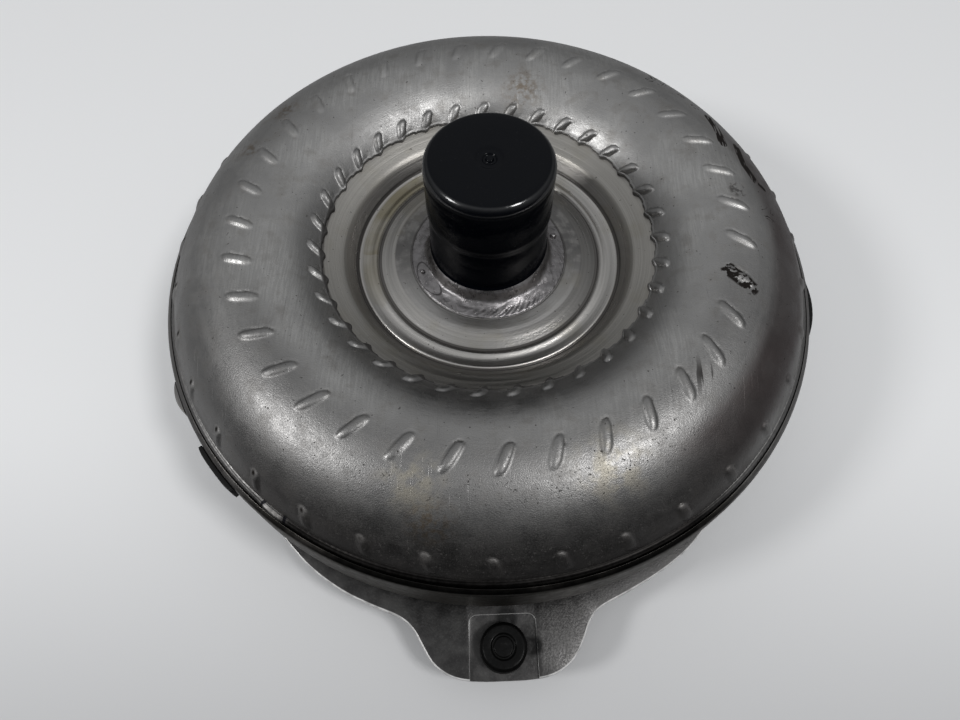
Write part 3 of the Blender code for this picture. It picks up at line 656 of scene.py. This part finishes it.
class Graph:
    """Writes the node tree of one material or of the world."""

    def __init__(self, owner, coordinates="Object"):
        owner.use_nodes = True
        self.owner = owner
        self.nodes = owner.node_tree.nodes
        self.links = owner.node_tree.links
        self.shader = self.nodes.get("Principled BSDF") or self.nodes["Background"]
        self.place = self.add("ShaderNodeTexCoord").outputs[coordinates]

    def add(self, kind, *values, **settings):
        """A new node, with values or links for its first inputs."""
        node = self.nodes.new(kind)
        for key, value in settings.items():
            setattr(node, key, value)
        for socket, value in zip(node.inputs, values):
            self.feed(socket, value)
        return node

    def feed(self, socket, value):
        if isinstance(value, bpy.types.NodeSocket):
            self.links.new(value, socket)
        else:
            socket.default_value = value

    def set(self, name, value):
        self.feed(self.shader.inputs[name], value)

    def math(self, operation, a, b=0.0):
        return self.add("ShaderNodeMath", a, b, operation=operation).outputs[0]

    def chain(self, operation, values):
        total = values[0]
        for value in values[1:]:
            total = self.math(operation, total, value)
        return total

    def times(self, *values):
        return self.chain("MULTIPLY", values)

    def plus(self, *values):
        return self.chain("ADD", values)

    def most(self, *values):
        return self.chain("MAXIMUM", values)

    def less(self, whole, mask, share=1.0):
        """The whole, reduced by a share of the mask."""
        return self.math("SUBTRACT", whole, self.times(mask, share))

    def vector(self, operation, a, b):
        node = self.add("ShaderNodeVectorMath", a, b, operation=operation)
        return node.outputs["Value" if operation in ("LENGTH", "DISTANCE", "DOT_PRODUCT") else "Vector"]

    def noise(self, size, detail=3.0, distortion=0.0):
        """Noise whose features are about size millimetres across."""
        node = self.add("ShaderNodeTexNoise")
        self.feed(node.inputs["Vector"], self.place)
        self.feed(node.inputs["Scale"], 1 / (size * MM))
        self.feed(node.inputs["Detail"], detail)
        self.feed(node.inputs["Roughness"], 0.55)
        self.feed(node.inputs["Distortion"], distortion)
        return node.outputs["Fac"]

    def ramp(self, value, low, high, out_low=0.0, out_high=1.0):
        settings = (value, low, high, out_low, out_high)
        return self.add("ShaderNodeMapRange", *settings, interpolation_type="SMOOTHSTEP").outputs[0]

    def fall(self, value, low, high):
        """One below low, falling to nought at high."""
        return self.ramp(value, low, high, 1.0, 0.0)

    def band(self, value, low, high, soft):
        """One between low and high, falling to nought over soft outside them."""
        return self.times(self.ramp(value, low - soft, low), self.fall(value, high, high + soft))

    def mix(self, share, a, b):
        node = self.add("ShaderNodeMix", data_type="RGBA")
        self.feed(node.inputs[0], share)
        self.feed(node.inputs[6], (*a, 1.0) if isinstance(a, tuple) else a)
        self.feed(node.inputs[7], (*b, 1.0) if isinstance(b, tuple) else b)
        return node.outputs[2]

    def paint(self, colour, *masks):
        """Lays a colour over the base colour where every mask lets it through."""
        self.base = self.mix(self.times(*masks), self.base, colour)

    def tones(self, by, low, high, dark, light):
        """Colour that follows a noise between two tones."""
        return self.mix(self.ramp(by, low, high), dark, light)

    def rough(self, by, low, high):
        """Roughness that follows a noise from low to high."""
        self.set("Roughness", self.ramp(by, 0.3, 0.7, low, high))

    def axes(self):
        return self.add("ShaderNodeSeparateXYZ", self.place).outputs

    def radius(self):
        """Distance from the rotation axis, in millimetres."""
        flat = self.vector("MULTIPLY", self.place, (1000.0, 1000.0, 0.0))
        return self.vector("LENGTH", flat, (0.0, 0.0, 0.0))

    def azimuth(self):
        x, y, _ = self.axes()
        return self.times(self.math("ARCTAN2", y, x), 180 / math.pi)

    def height(self):
        """Height above the lug plane, in millimetres."""
        return self.math("SUBTRACT", self.times(self.axes()[2], 1000), LIFT)

    def stretched_noise(self, where, detail):
        node = self.add("ShaderNodeTexNoise")
        self.feed(node.inputs["Vector"], where)
        self.feed(node.inputs["Scale"], 1.0)
        self.feed(node.inputs["Detail"], detail)
        return node.outputs["Fac"]

    def lathe_lines(self, fine, along=60.0):
        """Noise drawn out round the axis, as turning leaves it. Fine is the line pitch in mm."""
        x, y, z = self.axes()
        rise = self.plus(self.times(self.radius(), 1 / fine), self.times(z, 1000 / fine))
        spun = (self.times(x, 1000 / along), self.times(y, 1000 / along), rise)
        return self.stretched_noise(self.add("ShaderNodeCombineXYZ", *spun).outputs[0], 2.0)

    def scratches(self, turn, spacing, length, keep):
        """Thin straight scratches at an angle. Keep is the noise level above which one shows."""
        mapping = self.add("ShaderNodeMapping", self.place)
        mapping.inputs["Rotation"].default_value = (0.0, 0.0, math.radians(turn))
        mapping.inputs["Scale"].default_value = (1000 / spacing, 1000 / length, 1000 / length)
        return self.ramp(self.stretched_noise(mapping.outputs[0], 1.0), keep, keep + 0.06)

    def meander(self, size, distortion):
        """Nought along thin wandering lines, rising away from them."""
        return self.math("ABSOLUTE", self.math("SUBTRACT", self.noise(size, 2, distortion), 0.5))

    def finish(self, *layers):
        """Sets the base colour and a chain of bumps, each (height, millimetres), and gives the material."""
        self.set("Base Color", self.base)
        normal = None
        for height, size in layers:
            node = self.add("ShaderNodeBump")
            self.feed(node.inputs["Height"], height)
            node.inputs["Strength"].default_value = 1.0
            node.inputs["Distance"].default_value = size * MM
            if normal is not None:
                self.links.new(normal, node.inputs["Normal"])
            normal = node.outputs[0]
        self.set("Normal", normal)
        return self.owner


def look(name, base=None, metallic=1.0, roughness=0.4):
    """Graph of a new material. Base is the colour that paint starts from."""
    g = Graph(bpy.data.materials.new(name))
    g.base = base
    g.set("Metallic", metallic)
    g.set("Roughness", roughness)
    return g


def spot(g, azimuth, radius, height, size):
    """Soft mask round one place on the object."""
    return g.fall(g.vector("DISTANCE", g.place, on_axis_point(azimuth, radius, height)), 0.0, size * MM)


def spots(g, full, *places):
    """Mask of several spots that are solid where the soft mask passes full."""
    return g.most(*[g.ramp(spot(g, *place), 0.1, full) for place in places])


def stroke(g, start, end, width):
    """Mask of a straight rub between two (azimuth, radius, height) places, with a nearly crisp edge."""
    first = on_axis_point(*start)
    run = on_axis_point(*end) - first
    offset = g.vector("SUBTRACT", g.place, first)
    share = g.vector("DOT_PRODUCT", offset, run / run.length_squared)
    nearest = g.add("ShaderNodeVectorMath", run, operation="SCALE")
    g.feed(nearest.inputs[3], g.math("MINIMUM", g.most(share, 0.0), 1.0))
    away = g.vector("DISTANCE", offset, nearest.outputs[0])
    return g.fall(away, 0.7 * width * MM, width * MM)


def rub(g, width, *places):
    """Mask of a rub that passes through several places."""
    return g.most(*[stroke(g, start, end, width) for start, end in zip(places, places[1:])])


def lip_shade(g):
    """How much painted shade lies in the crevice at the dome's inner lip: strong on the left and front,
    faint behind.
    """
    left_front = g.most(g.band(g.azimuth(), -182, -70, 20), g.band(g.azimuth(), 168, 182, 10))
    return g.ramp(left_front, 0.0, 1.0, 0.12, 0.85)


def front_dark_reflection(g):
    """Mask of the rim's front, painted black as a dark reflection of the side in front, fading out at both
    ends.
    """
    return g.band(g.azimuth(), -121, -58, 16)


def shell_scuffs(g, patchy):
    """Mask of what is rubbed or burnt black on the dome: back right, right and front right."""
    strokes = g.times(g.fall(g.meander(9.0, 2.0), 0.014, 0.028), g.ramp(patchy, 0.36, 0.44))
    faint = g.times(spots(g, 0.35, (57.6, 124, 68, 9), (47.7, 119, 71.6, 9), (3.5, 119, 72, 6)), strokes)
    smudge = spots(g, 0.6, (40.5, 120.2, 71, 4), (36.2, 119.9, 71.2, 4), (9.0, 107, 76, 7))
    smudge = g.times(smudge, g.ramp(patchy, 0.42, 0.58), 0.8)
    upper = rub(g, 2.9, (32.2, 121, 70.5), (28.6, 118.6, 71.9), (25.6, 115.8, 73.2), (23.4, 114, 74.1))
    lower = rub(g, 2.5, (22.8, 122.0, 69.8), (19.6, 119.1, 71.6), (16.6, 117.7, 72.4), (12.4, 119, 71.7))
    tail = rub(g, 1.5, (12.4, 119, 71.7), (10.7, 122.5, 69.4))
    rubs = g.times(g.most(upper, lower, tail), g.less(1.0, g.scratches(-28, 1.1, 9, 0.55), 0.85))
    burn = g.times(rub(g, 4.0, (-14.6, 98, 77.3), (-17.6, 107.5, 76.2)), g.ramp(patchy, 0.46, 0.53))
    smear = g.times(spot(g, -42.0, 105, CREST_Z, 11), g.scratches(-30, 1.6, 16, 0.56), 0.85)
    return g.most(faint, smudge, rubs, burn, smear)


def shell_steel():
    """Pressed steel of the dome: grainy grey, mottled and scratched, with oil stains and scuffs."""
    g = look("shell_steel_worn")
    radius = g.radius()
    azimuth = g.azimuth()
    cloud = g.noise(40, 4, 0.6)
    mottle = g.noise(7, 4)
    patchy = g.noise(2.2, 3)
    grain = g.noise(0.5, 2)
    drawn = g.lathe_lines(1.1, 22.0)
    g.base = g.tones(cloud, 0.35, 0.7, (0.33, 0.325, 0.32), (0.47, 0.465, 0.455))
    g.paint((0.25, 0.237, 0.222), g.ramp(mottle, 0.5, 0.72), 0.5)
    hatch = g.most(g.scratches(88, 0.7, 11, 0.50), g.times(g.scratches(4, 0.8, 9, 0.52), 0.7))
    g.paint((0.24, 0.235, 0.23), hatch, g.ramp(cloud, 0.4, 0.6), 0.3)
    g.paint((0.20, 0.195, 0.19), g.ramp(grain, 0.55, 0.75), 0.35)
    # painted shade: darker over the front half of the crest, and on the inner slope except behind
    front = g.times(g.band(azimuth, -150, -25, 25), g.ramp(radius, 90, 102), g.fall(radius, 126, 136))
    g.paint((0.15, 0.147, 0.145), front, 0.62)
    slope = g.times(g.fall(radius, 77, 85), g.less(1.0, g.band(azimuth, 30, 105, 12)))
    g.paint((0.17, 0.168, 0.166), slope, 0.5)
    # darker and reddish low on the right, and a painted dark reflection low on the front, where the dome
    # meets the weld
    low_right_dark = g.times(g.band(azimuth, -44, 16, 20), g.band(radius, 121, 130, 8))
    g.paint((0.085, 0.066, 0.064), low_right_dark, g.ramp(cloud, 0.25, 0.6, 0.5, 0.85))
    low_front_reflection = g.times(g.band(azimuth, -125, -55, 18), g.ramp(radius, 120, 138))
    g.paint((0.15, 0.14, 0.135), low_front_reflection, g.ramp(cloud, 0.2, 0.6, 0.5, 0.9))
    # brown stains, and yellow oil on the front crest
    stain_shape = g.ramp(g.noise(2.6, 4), 0.42, 0.62)
    for where in ((78, 82.6, 73.7, 14), (144, 114.7, 73.8, 11), (158, 113.4, 74.4, 8), (-100, 124, 67, 13)):
        g.paint((0.17, 0.125, 0.08), spot(g, *where), stain_shape, 0.7)
    oil = g.most(spot(g, -104, 113, 74, 17), spot(g, -68, 113, 74, 20))
    g.paint((0.46, 0.41, 0.29), oil, g.ramp(mottle, 0.4, 0.62), 0.32)
    # pits everywhere, denser low on the front
    specks = g.times(g.ramp(g.noise(1.5, 1), 0.735, 0.77), 0.75)
    low_front = g.times(g.band(azimuth, -115, -55, 12), g.band(radius, 112, 134, 6))
    pits = g.times(low_front, g.ramp(g.noise(0.9, 1), 0.665, 0.71), 0.65)
    # painted shade in the crevice under the lip
    crevice = g.times(g.fall(radius, 71.1, 72.2), lip_shade(g))
    # painted shade in the marks' folds and nicks, read from the dome's point attribute
    crease_shade = g.add("ShaderNodeAttribute", attribute_name="crease_shade").outputs["Fac"]
    dark = g.most(specks, pits, shell_scuffs(g, patchy), crevice, crease_shade)
    g.paint((0.014, 0.012, 0.011), dark)
    g.set("Metallic", g.less(1.0, dark, 0.8))
    g.set("Specular IOR Level", g.less(0.5, dark, 0.45))
    fine_lines = g.most(g.scratches(38, 0.4, 30, 0.71), g.scratches(-64, 0.45, 22, 0.72))
    rough = g.plus(g.ramp(mottle, 0.3, 0.7, 0.36, 0.46), g.times(g.ramp(drawn, 0.35, 0.65), 0.05))
    sparkle = g.ramp(grain, 0.35, 0.65, -0.05, 0.05)
    g.set("Roughness", g.plus(rough, sparkle, g.times(dark, 0.3)))
    coarse = (cloud, 0.20), (mottle, 0.04), (patchy, 0.03)
    return g.finish(*coarse, (grain, 0.075), (drawn, 0.02), (fine_lines, -0.03))


def dish_steel():
    """The shell's inner half: turned and brushed round the axis, with yellowed oil in the channel."""
    g = look("dish_steel_brushed")
    x, y, _ = g.axes()
    radius = g.radius()
    azimuth = g.azimuth()
    drawn = g.lathe_lines(0.55, 90.0)
    coarse = g.lathe_lines(2.6, 60.0)
    mottle = g.noise(4, 4)
    grain = g.noise(0.7, 2)
    g.base = g.tones(drawn, 0.3, 0.7, (0.36, 0.35, 0.335), (0.50, 0.485, 0.465))
    # painted shade on the steep wall between the outer groove and the annulus
    g.paint((0.16, 0.15, 0.14), g.band(radius, 57.0, 62.0, 1.0), 0.55)
    # painted shade behind the black cap on the weld land, lighter in front
    land_shade_tone = g.mix(g.ramp(y, -0.037, 0.006), (0.44, 0.43, 0.42), (0.125, 0.122, 0.12))
    g.paint(land_shade_tone, g.band(radius, 33.0, 40.5, 1.0), g.ramp(mottle, 0.3, 0.6, 0.65, 0.95))
    # painted shade on the slope down to the inner groove, stronger on the right
    slope = g.band(radius, 41.0, 46.5, 1.0)
    g.paint((0.13, 0.127, 0.122), slope, g.ramp(x, -0.02, 0.03, 0.25, 0.75))
    annulus = g.band(radius, 61.5, 72, 1.5)
    g.paint((0.31, 0.297, 0.272), annulus, 0.6)
    back_left = g.most(g.band(azimuth, 128, 182, 12), g.times(g.band(azimuth, -182, -168, 20), 0.6))
    oily = g.times(back_left, g.ramp(g.noise(24, 3), 0.3, 0.6, 0.4, 1.0), 0.8)
    g.paint((0.20, 0.172, 0.10), g.band(radius, 49, 54.5, 1.2), oily)
    g.paint((0.29, 0.27, 0.22), g.ramp(g.noise(16, 3), 0.5, 0.7), 0.35)
    # painted shade in the two grooves and under the lip; the line at the weld's edge is a dark seam
    grooves = g.most(g.band(radius, 47.0, 48.1, 0.35), g.band(radius, 56.9, 57.8, 0.5))
    seam = g.times(g.band(radius, 33.75, 34.1, 0.2), 0.4)
    seam_and_shade = g.most(grooves, seam, g.times(g.ramp(radius, 70.0, 70.7), lip_shade(g)))
    dark = g.most(g.times(seam_and_shade, 0.85), g.times(g.ramp(g.noise(1.5, 1), 0.74, 0.77), 0.7))
    g.paint((0.025, 0.022, 0.02), dark)
    g.set("Metallic", g.less(1.0, dark, 0.6))
    dull = g.most(annulus, g.band(radius, 20, 41, 3))
    g.set("Roughness", g.plus(g.ramp(coarse, 0.3, 0.7, 0.26, 0.38), g.times(dull, 0.09)))
    return g.finish((mottle, 0.05), (grain, 0.06), (drawn, 0.05), (coarse, 0.10))


def weld_steel():
    """Smooth weld metal, close to the shell in tone, with set lines and a thin dark seam at its edge."""
    g = look("weld_steel_melt")
    radius = g.radius()
    mottle = g.noise(3.0, 4)
    lines = g.noise(1.1, 3, 1.6)
    fine = g.noise(0.5, 2)
    g.base = g.tones(mottle, 0.4, 0.65, (0.19, 0.182, 0.184), (0.25, 0.241, 0.244))
    seam = g.times(g.band(radius, 33.35, 33.8, 0.12), 0.45)
    cracks = g.times(g.fall(g.meander(7, 1.0), 0.0, 0.012), 0.5)
    # the smooth patch where the weld was started shows a thin outline
    across = g.times(g.plus(g.azimuth(), 151.0), 1 / 18.0)
    inwards = g.times(g.math("SUBTRACT", radius, 30.0), 1 / 3.1)
    oval = g.plus(g.times(across, across), g.times(inwards, inwards))
    outline = g.times(g.band(oval, 0.92, 1.06, 0.06), 0.75)
    g.paint((0.03, 0.028, 0.028), g.most(seam, cracks, outline))
    g.rough(mottle, 0.25, 0.36)
    return g.finish((mottle, 0.16), (lines, 0.10), (fine, 0.03), (cracks, -0.05))


def rim_weld_steel():
    """Drawn-out closure weld, painted black at the front as a dark reflection, with a marker outline round
    its lapped end.
    """
    g = look("rim_weld_drawn")
    drawn = g.lathe_lines(0.5, 50.0)
    mottle = g.noise(3, 4)
    black = g.tones(drawn, 0.35, 0.7, (0.012, 0.011, 0.011), (0.05, 0.047, 0.045))
    bare = g.tones(drawn, 0.35, 0.7, (0.18, 0.176, 0.172), (0.26, 0.255, 0.25))
    # painted dark reflection: the weld is black at the front
    g.base = g.mix(front_dark_reflection(g), bare, black)
    lap = (LAP_AZIMUTH, 140.6, RIM_TOP + 1.5)
    away = g.vector("DISTANCE", g.place, on_axis_point(*lap))
    outline = g.band(g.plus(away, g.times(mottle, 0.0022)), 0.0064, 0.0074, 0.0004)
    g.paint((0.17, 0.165, 0.16), spot(g, *lap, 4.5), 0.5)
    g.paint((0.006, 0.006, 0.008), outline, 0.95)
    g.rough(mottle, 0.36, 0.52)
    return g.finish((mottle, 0.10), (drawn, 0.08))


def cover_steel():
    """Cover: turned rim band, duller pressed sides, a painted dark reflection on the front, painted shade
    in the crevice beside the closure weld.
    """
    g = look("cover_steel_turned")
    drawn = g.lathe_lines(0.45, 80.0)
    cloud = g.noise(22, 4)
    mottle = g.noise(3.5, 4)
    height = g.height()
    g.base = g.tones(drawn, 0.35, 0.65, (0.17, 0.165, 0.16), (0.28, 0.273, 0.267))
    # painted dark reflection over the front, and painted shade at the top of the band there
    g.paint((0.085, 0.078, 0.062), front_dark_reflection(g), g.ramp(cloud, 0.3, 0.6, 0.55, 0.85))
    g.paint((0.02, 0.019, 0.018), g.ramp(height, RIM_TOP - 2.2, RIM_TOP - 1.4), front_dark_reflection(g))
    # painted shade in the crevice beside the closure weld
    beside_weld = g.fall(g.radius(), SKIRT_R + 0.6, SKIRT_R + 0.85)
    g.paint((0.012, 0.011, 0.011), beside_weld, g.ramp(height, RIM_TOP - 6, RIM_TOP - 5), 0.9)
    g.paint((0.20, 0.185, 0.17), g.ramp(cloud, 0.5, 0.75), 0.5)
    g.paint((0.03, 0.028, 0.025), g.ramp(g.noise(1.6, 1), 0.73, 0.76), 0.7)
    g.rough(mottle, 0.28, 0.44)
    return g.finish((cloud, 0.12), (mottle, 0.05), (drawn, 0.04))


def lug_steel():
    """Dark, grainy plate with a painted highlight on its bright sheared edge, handling wear and black oil
    beside the nut.
    """
    g = look("lug_steel_grainy")
    grain = g.noise(0.8, 3)
    mottle = g.noise(6, 4)
    g.base = g.tones(mottle, 0.3, 0.75, (0.038, 0.037, 0.037), (0.062, 0.061, 0.06))
    g.paint((0.11, 0.108, 0.107), g.ramp(grain, 0.5, 0.75), 0.25)
    oil = 0.0
    right_half = 0.0
    for number in (1, 2, 3):
        angle = azimuth_of(f"lug_nut_{number}")
        reach = radius_of(f"lug_nut_{number}")
        above = spot(g, angle + 0.8, reach - 11.5, LUG_THICK, 7.5)
        beside = spot(g, angle + 4.4, reach, LUG_THICK, 6.5)
        oil = g.most(oil, above, beside)
        right_half = g.most(right_half, g.ramp(spot(g, angle + 9.5, reach - 4, LUG_THICK, 23), 0.05, 0.4))
    g.paint((0.12, 0.117, 0.115), right_half, g.ramp(grain, 0.3, 0.65), 0.5)
    g.paint((0.012, 0.012, 0.012), g.ramp(oil, 0.1, 0.6), g.ramp(mottle, 0.3, 0.5), 0.92)
    # painted highlight: the sheared edge gets a pale, less metallic base that catches light
    facing = g.add("ShaderNodeSeparateXYZ", g.add("ShaderNodeNewGeometry").outputs["Normal"])
    edge = g.fall(g.math("ABSOLUTE", facing.outputs[2]), 0.85, 0.985)
    bright = g.ramp(g.noise(5.0, 2), 0.3, 0.6, 0.6, 1.0)
    g.paint((0.86, 0.85, 0.84), edge, bright)
    g.set("Metallic", g.less(0.95, edge, 0.75))
    g.rough(mottle, 0.34, 0.46)
    return g.finish((mottle, 0.06), (grain, 0.07))


def cap_vinyl():
    """Glossy blue-black dipped vinyl with a faint haze of dust, shiniest on the crown's rounded edge."""
    g = look("cap_vinyl_gloss", (0.0008, 0.0013, 0.0026), 0.0)
    haze = g.noise(14, 3)
    height = g.height()
    dust = g.ramp(g.noise(0.9, 2), 0.66, 0.72)
    g.paint((0.10, 0.10, 0.11), dust, 0.04)
    g.set("Roughness", g.ramp(haze, 0.35, 0.7, 0.10, 0.2))
    gloss = g.ramp(height, CAP_TOP - 6, CAP_TOP - 3.5, 0.02, 0.14)
    shoulder = g.times(g.band(height, CAP_TOP - 3.4, CAP_TOP - 0.9, 0.4), g.ramp(g.radius(), 14, 18), 0.5)
    g.set("Specular IOR Level", g.plus(gloss, shoulder))
    return g.finish((haze, 0.35), (g.noise(3.0, 3), 0.03))


def black_metal(name, colour, roughness):
    """Oiled black oxide or black paint on steel, worn a little on its mottled high spots."""
    g = look(name, colour, 0.2)
    mottle = g.noise(1.8, 4)
    g.paint((0.06, 0.058, 0.056), g.ramp(mottle, 0.64, 0.76), 0.25)
    g.rough(mottle, roughness - 0.08, roughness + 0.1)
    g.set("Specular IOR Level", 0.12)
    return g.finish((mottle, 0.05), (g.noise(0.5, 2), 0.02))


def machined_steel(name, light=(0.60, 0.59, 0.575), dark=(0.47, 0.46, 0.45), roughness=0.24):
    g = look(name)
    drawn = g.lathe_lines(0.35, 70.0)
    mottle = g.noise(5, 3)
    g.base = g.tones(drawn, 0.3, 0.7, dark, light)
    g.rough(mottle, roughness, roughness + 0.12)
    return g.finish((mottle, 0.02), (drawn, 0.02))


def cast_aluminium():
    g = look("cast_aluminium_sand")
    pores = g.noise(1.1, 3)
    cloud = g.noise(12, 3)
    g.base = g.tones(cloud, 0.35, 0.7, (0.54, 0.54, 0.53), (0.68, 0.68, 0.67))
    g.rough(pores, 0.42, 0.6)
    return g.finish((cloud, 0.05), (pores, 0.08))


def friction_paper():
    g = look("friction_paper_fibre", metallic=0.0, roughness=0.9)
    fibre = g.noise(0.7, 4, 1.2)
    g.base = g.tones(fibre, 0.35, 0.65, (0.075, 0.048, 0.03), (0.17, 0.115, 0.07))
    return g.finish((fibre, 0.08))


def seal_rubber():
    g = look("seal_rubber_moulded", metallic=0.0)
    bloom = g.noise(2.0, 3)
    g.base = g.tones(bloom, 0.4, 0.7, (0.014, 0.014, 0.014), (0.035, 0.035, 0.034))
    g.rough(bloom, 0.5, 0.68)
    return g.finish((bloom, 0.02))


def floor_material():
    """Pale floor with a painted shadow towards the viewer, lighter far off, painted darker in mirrors,
    see-through from below and under the object.
    """
    g = look("floor_pale", metallic=0.0, roughness=0.6)
    y = g.axes()[1]
    # painted shade: the floor that mirrors show is dark, darkest in front
    mirrored_shade = g.mix(g.ramp(y, -0.25, -0.08), (0.02, 0.02, 0.021), (0.36, 0.36, 0.365))
    # painted shadow of the viewer on the near floor, and painted light far off
    seen = g.mix(g.ramp(y, -0.27, -0.03), (0.48, 0.482, 0.49), (0.90, 0.905, 0.912))
    seen = g.mix(g.ramp(y, 0.15, 0.6), seen, (0.97, 0.972, 0.975))
    g.set("Base Color", g.mix(g.add("ShaderNodeLightPath").outputs["Is Glossy Ray"], seen, mirrored_shade))
    g.set("Specular IOR Level", 0.1)
    open_share = g.most(g.add("ShaderNodeNewGeometry").outputs["Backfacing"], g.fall(g.radius(), 96, 104))
    clear = g.add("ShaderNodeBsdfTransparent").outputs[0]
    sides = g.add("ShaderNodeMixShader", open_share, g.shader.outputs[0], clear)
    g.feed(g.nodes["Material Output"].inputs["Surface"], sides.outputs[0])
    return g.owner


# --- stage ---

LAMPS = (
    # azimuth, elevation, distance in m, size in m, power in W
    (-160.0, 43.0, 1.5, 0.30, 6.0),
    (-32.0, 60.0, 1.5, 0.30, 6.5),
)


def make_lights():
    """Two round soft lamps aimed just above the floor at the axis."""
    for number, (azimuth, elevation, distance, size, power) in enumerate(LAMPS, 1):
        lamp = bpy.data.lights.new(f"lamp_{number}", "AREA")
        lamp.shape = "DISK"
        lamp.size = size
        lamp.energy = power
        obj = new_object(f"lamp_{number}", lamp)
        turn = Euler((0.0, -math.radians(elevation), math.radians(azimuth))).to_matrix()
        obj.location = turn @ Vector((distance, 0.0, 0.0))
        toward = Vector((0.0, 0.0, 0.05)) - obj.location
        obj.rotation_euler = toward.to_track_quat("-Z", "Y").to_euler()


def make_world():
    """Grey ceiling, darker towards the horizon and the front, and light from below for the engine side."""
    world = bpy.data.worlds.new("room")
    bpy.context.scene.world = world
    g = Graph(world, "Generated")
    _, y, z = g.axes()
    ceiling = g.times(g.ramp(z, -0.1, 1.05, 0.135, 0.54), g.ramp(y, -1.05, -0.30, 0.18, 1.0))
    g.set("Color", (0.97, 0.985, 1.0, 1.0))
    g.set("Strength", g.plus(ceiling, g.ramp(z, -0.6, -0.1, 0.5, 0.0)))


def make_floor():
    mesh = bpy.data.meshes.new("floor")
    half = 6.0
    drop = -0.0002
    corners = [(-half, -half, drop), (half, -half, drop), (half, half, drop), (-half, half, drop)]
    mesh.from_pydata(corners, [], [(0, 1, 2, 3)])
    floor = new_object("floor", mesh)
    mesh.materials.append(floor_material())


def make_camera():
    """Camera that looks down from the front, a little to the left of the axis and rolled by a hair."""
    elevation = math.radians(62.6928)
    roll = math.radians(-0.27279)
    distance = 308.63
    aside = 3.642
    below = 46.592
    aim_z = 54.0 + LIFT
    back = Vector((0, -math.cos(elevation), math.sin(elevation)))
    up = Vector((0, math.sin(elevation), math.cos(elevation)))
    right = Vector((1, 0, 0))
    rolled_right = math.cos(roll) * right + math.sin(roll) * up
    rolled_up = -math.sin(roll) * right + math.cos(roll) * up
    lens = bpy.data.cameras.new("camera")
    lens.lens = 26.25
    lens.sensor_width = 36.0
    lens.clip_start = 0.01
    camera = new_object("camera", lens)
    stand = Vector((0, 0, aim_z)) + back * distance - rolled_right * aside - rolled_up * below
    turn = Matrix((rolled_right, rolled_up, back)).transposed().to_4x4()
    camera.matrix_world = Matrix.Translation(stand * MM) @ turn
    bpy.context.scene.camera = camera


# --- assembly ---


def build_housing():
    """Every piece seen from outside, each on its body and in its own material."""
    finish_mesh(make_dome(), shell_steel(), "impeller_shell", sharp=50)
    finish_mesh(make_dish(), dish_steel(), "impeller_shell", sharp=60)
    weld = weld_steel()
    finish_mesh(make_hub_weld(), weld, "hub_weld", sharp=80)
    finish_mesh(ball("spatter_1", 15.5, 29.8, 56.5, 1.5), weld)
    finish_mesh(ball("spatter_2", 201.0, 30.4, 57.0, 1.0), weld)
    finish_mesh(make_rim_weld(), rim_weld_steel(), "rim_weld", sharp=60)
    finish_mesh(make_cover(), cover_steel(), "front_cover")
    ground = machined_steel("ground_steel", roughness=0.16)
    finish_mesh(make_pilot(), ground, "crankshaft_pilot")
    finish_mesh(make_hub_tube(), ground, "impeller_hub")
    finish_mesh(make_cap(), cap_vinyl(), "hub_cap", body="cap", sharp=60)
    lug = lug_steel()
    nut = black_metal("nut_black_oxide_oiled", (0.0035, 0.0035, 0.0035), 0.3)
    for number in (1, 2, 3):
        finish_mesh(make_lug(number), lug, f"lug_{number}")
        finish_mesh(make_nut(number), nut, f"lug_nut_{number}")
    black = black_metal("weight_black_paint", (0.012, 0.012, 0.012), 0.36)
    bare = machined_steel("weight_bare_steel", (0.27, 0.262, 0.255), (0.18, 0.175, 0.17), 0.32)
    for number, material, crowned in ((1, black, False), (2, black, True), (3, bare, True)):
        finish_mesh(make_weight(number, crowned), material, f"balance_weight_{number}")


def dress_cad_nodes():
    """The pieces inside the converter keep their CAD shapes and get their own materials."""
    looks = {
        "shell_steel": dish_steel(),
        "machined_steel": machined_steel("machined_steel_oiled"),
        "cast_aluminium": cast_aluminium(),
        "spring_steel": machined_steel("spring_steel_wire", (0.30, 0.30, 0.31), (0.20, 0.20, 0.21), 0.3),
        "friction_paper": friction_paper(),
        "seal_rubber": seal_rubber(),
    }
    for entry in frame["record"]["subparts"]:
        node = frame["nodes"][entry["node"]]
        if entry["material_slot"] in looks and not node.hide_render:
            for slot in node.material_slots:
                slot.material = looks[entry["material_slot"]]


bpy.context.scene.view_settings.view_transform = "Standard"
build_housing()
dress_cad_nodes()
make_floor()
make_world()
make_lights()
make_camera()
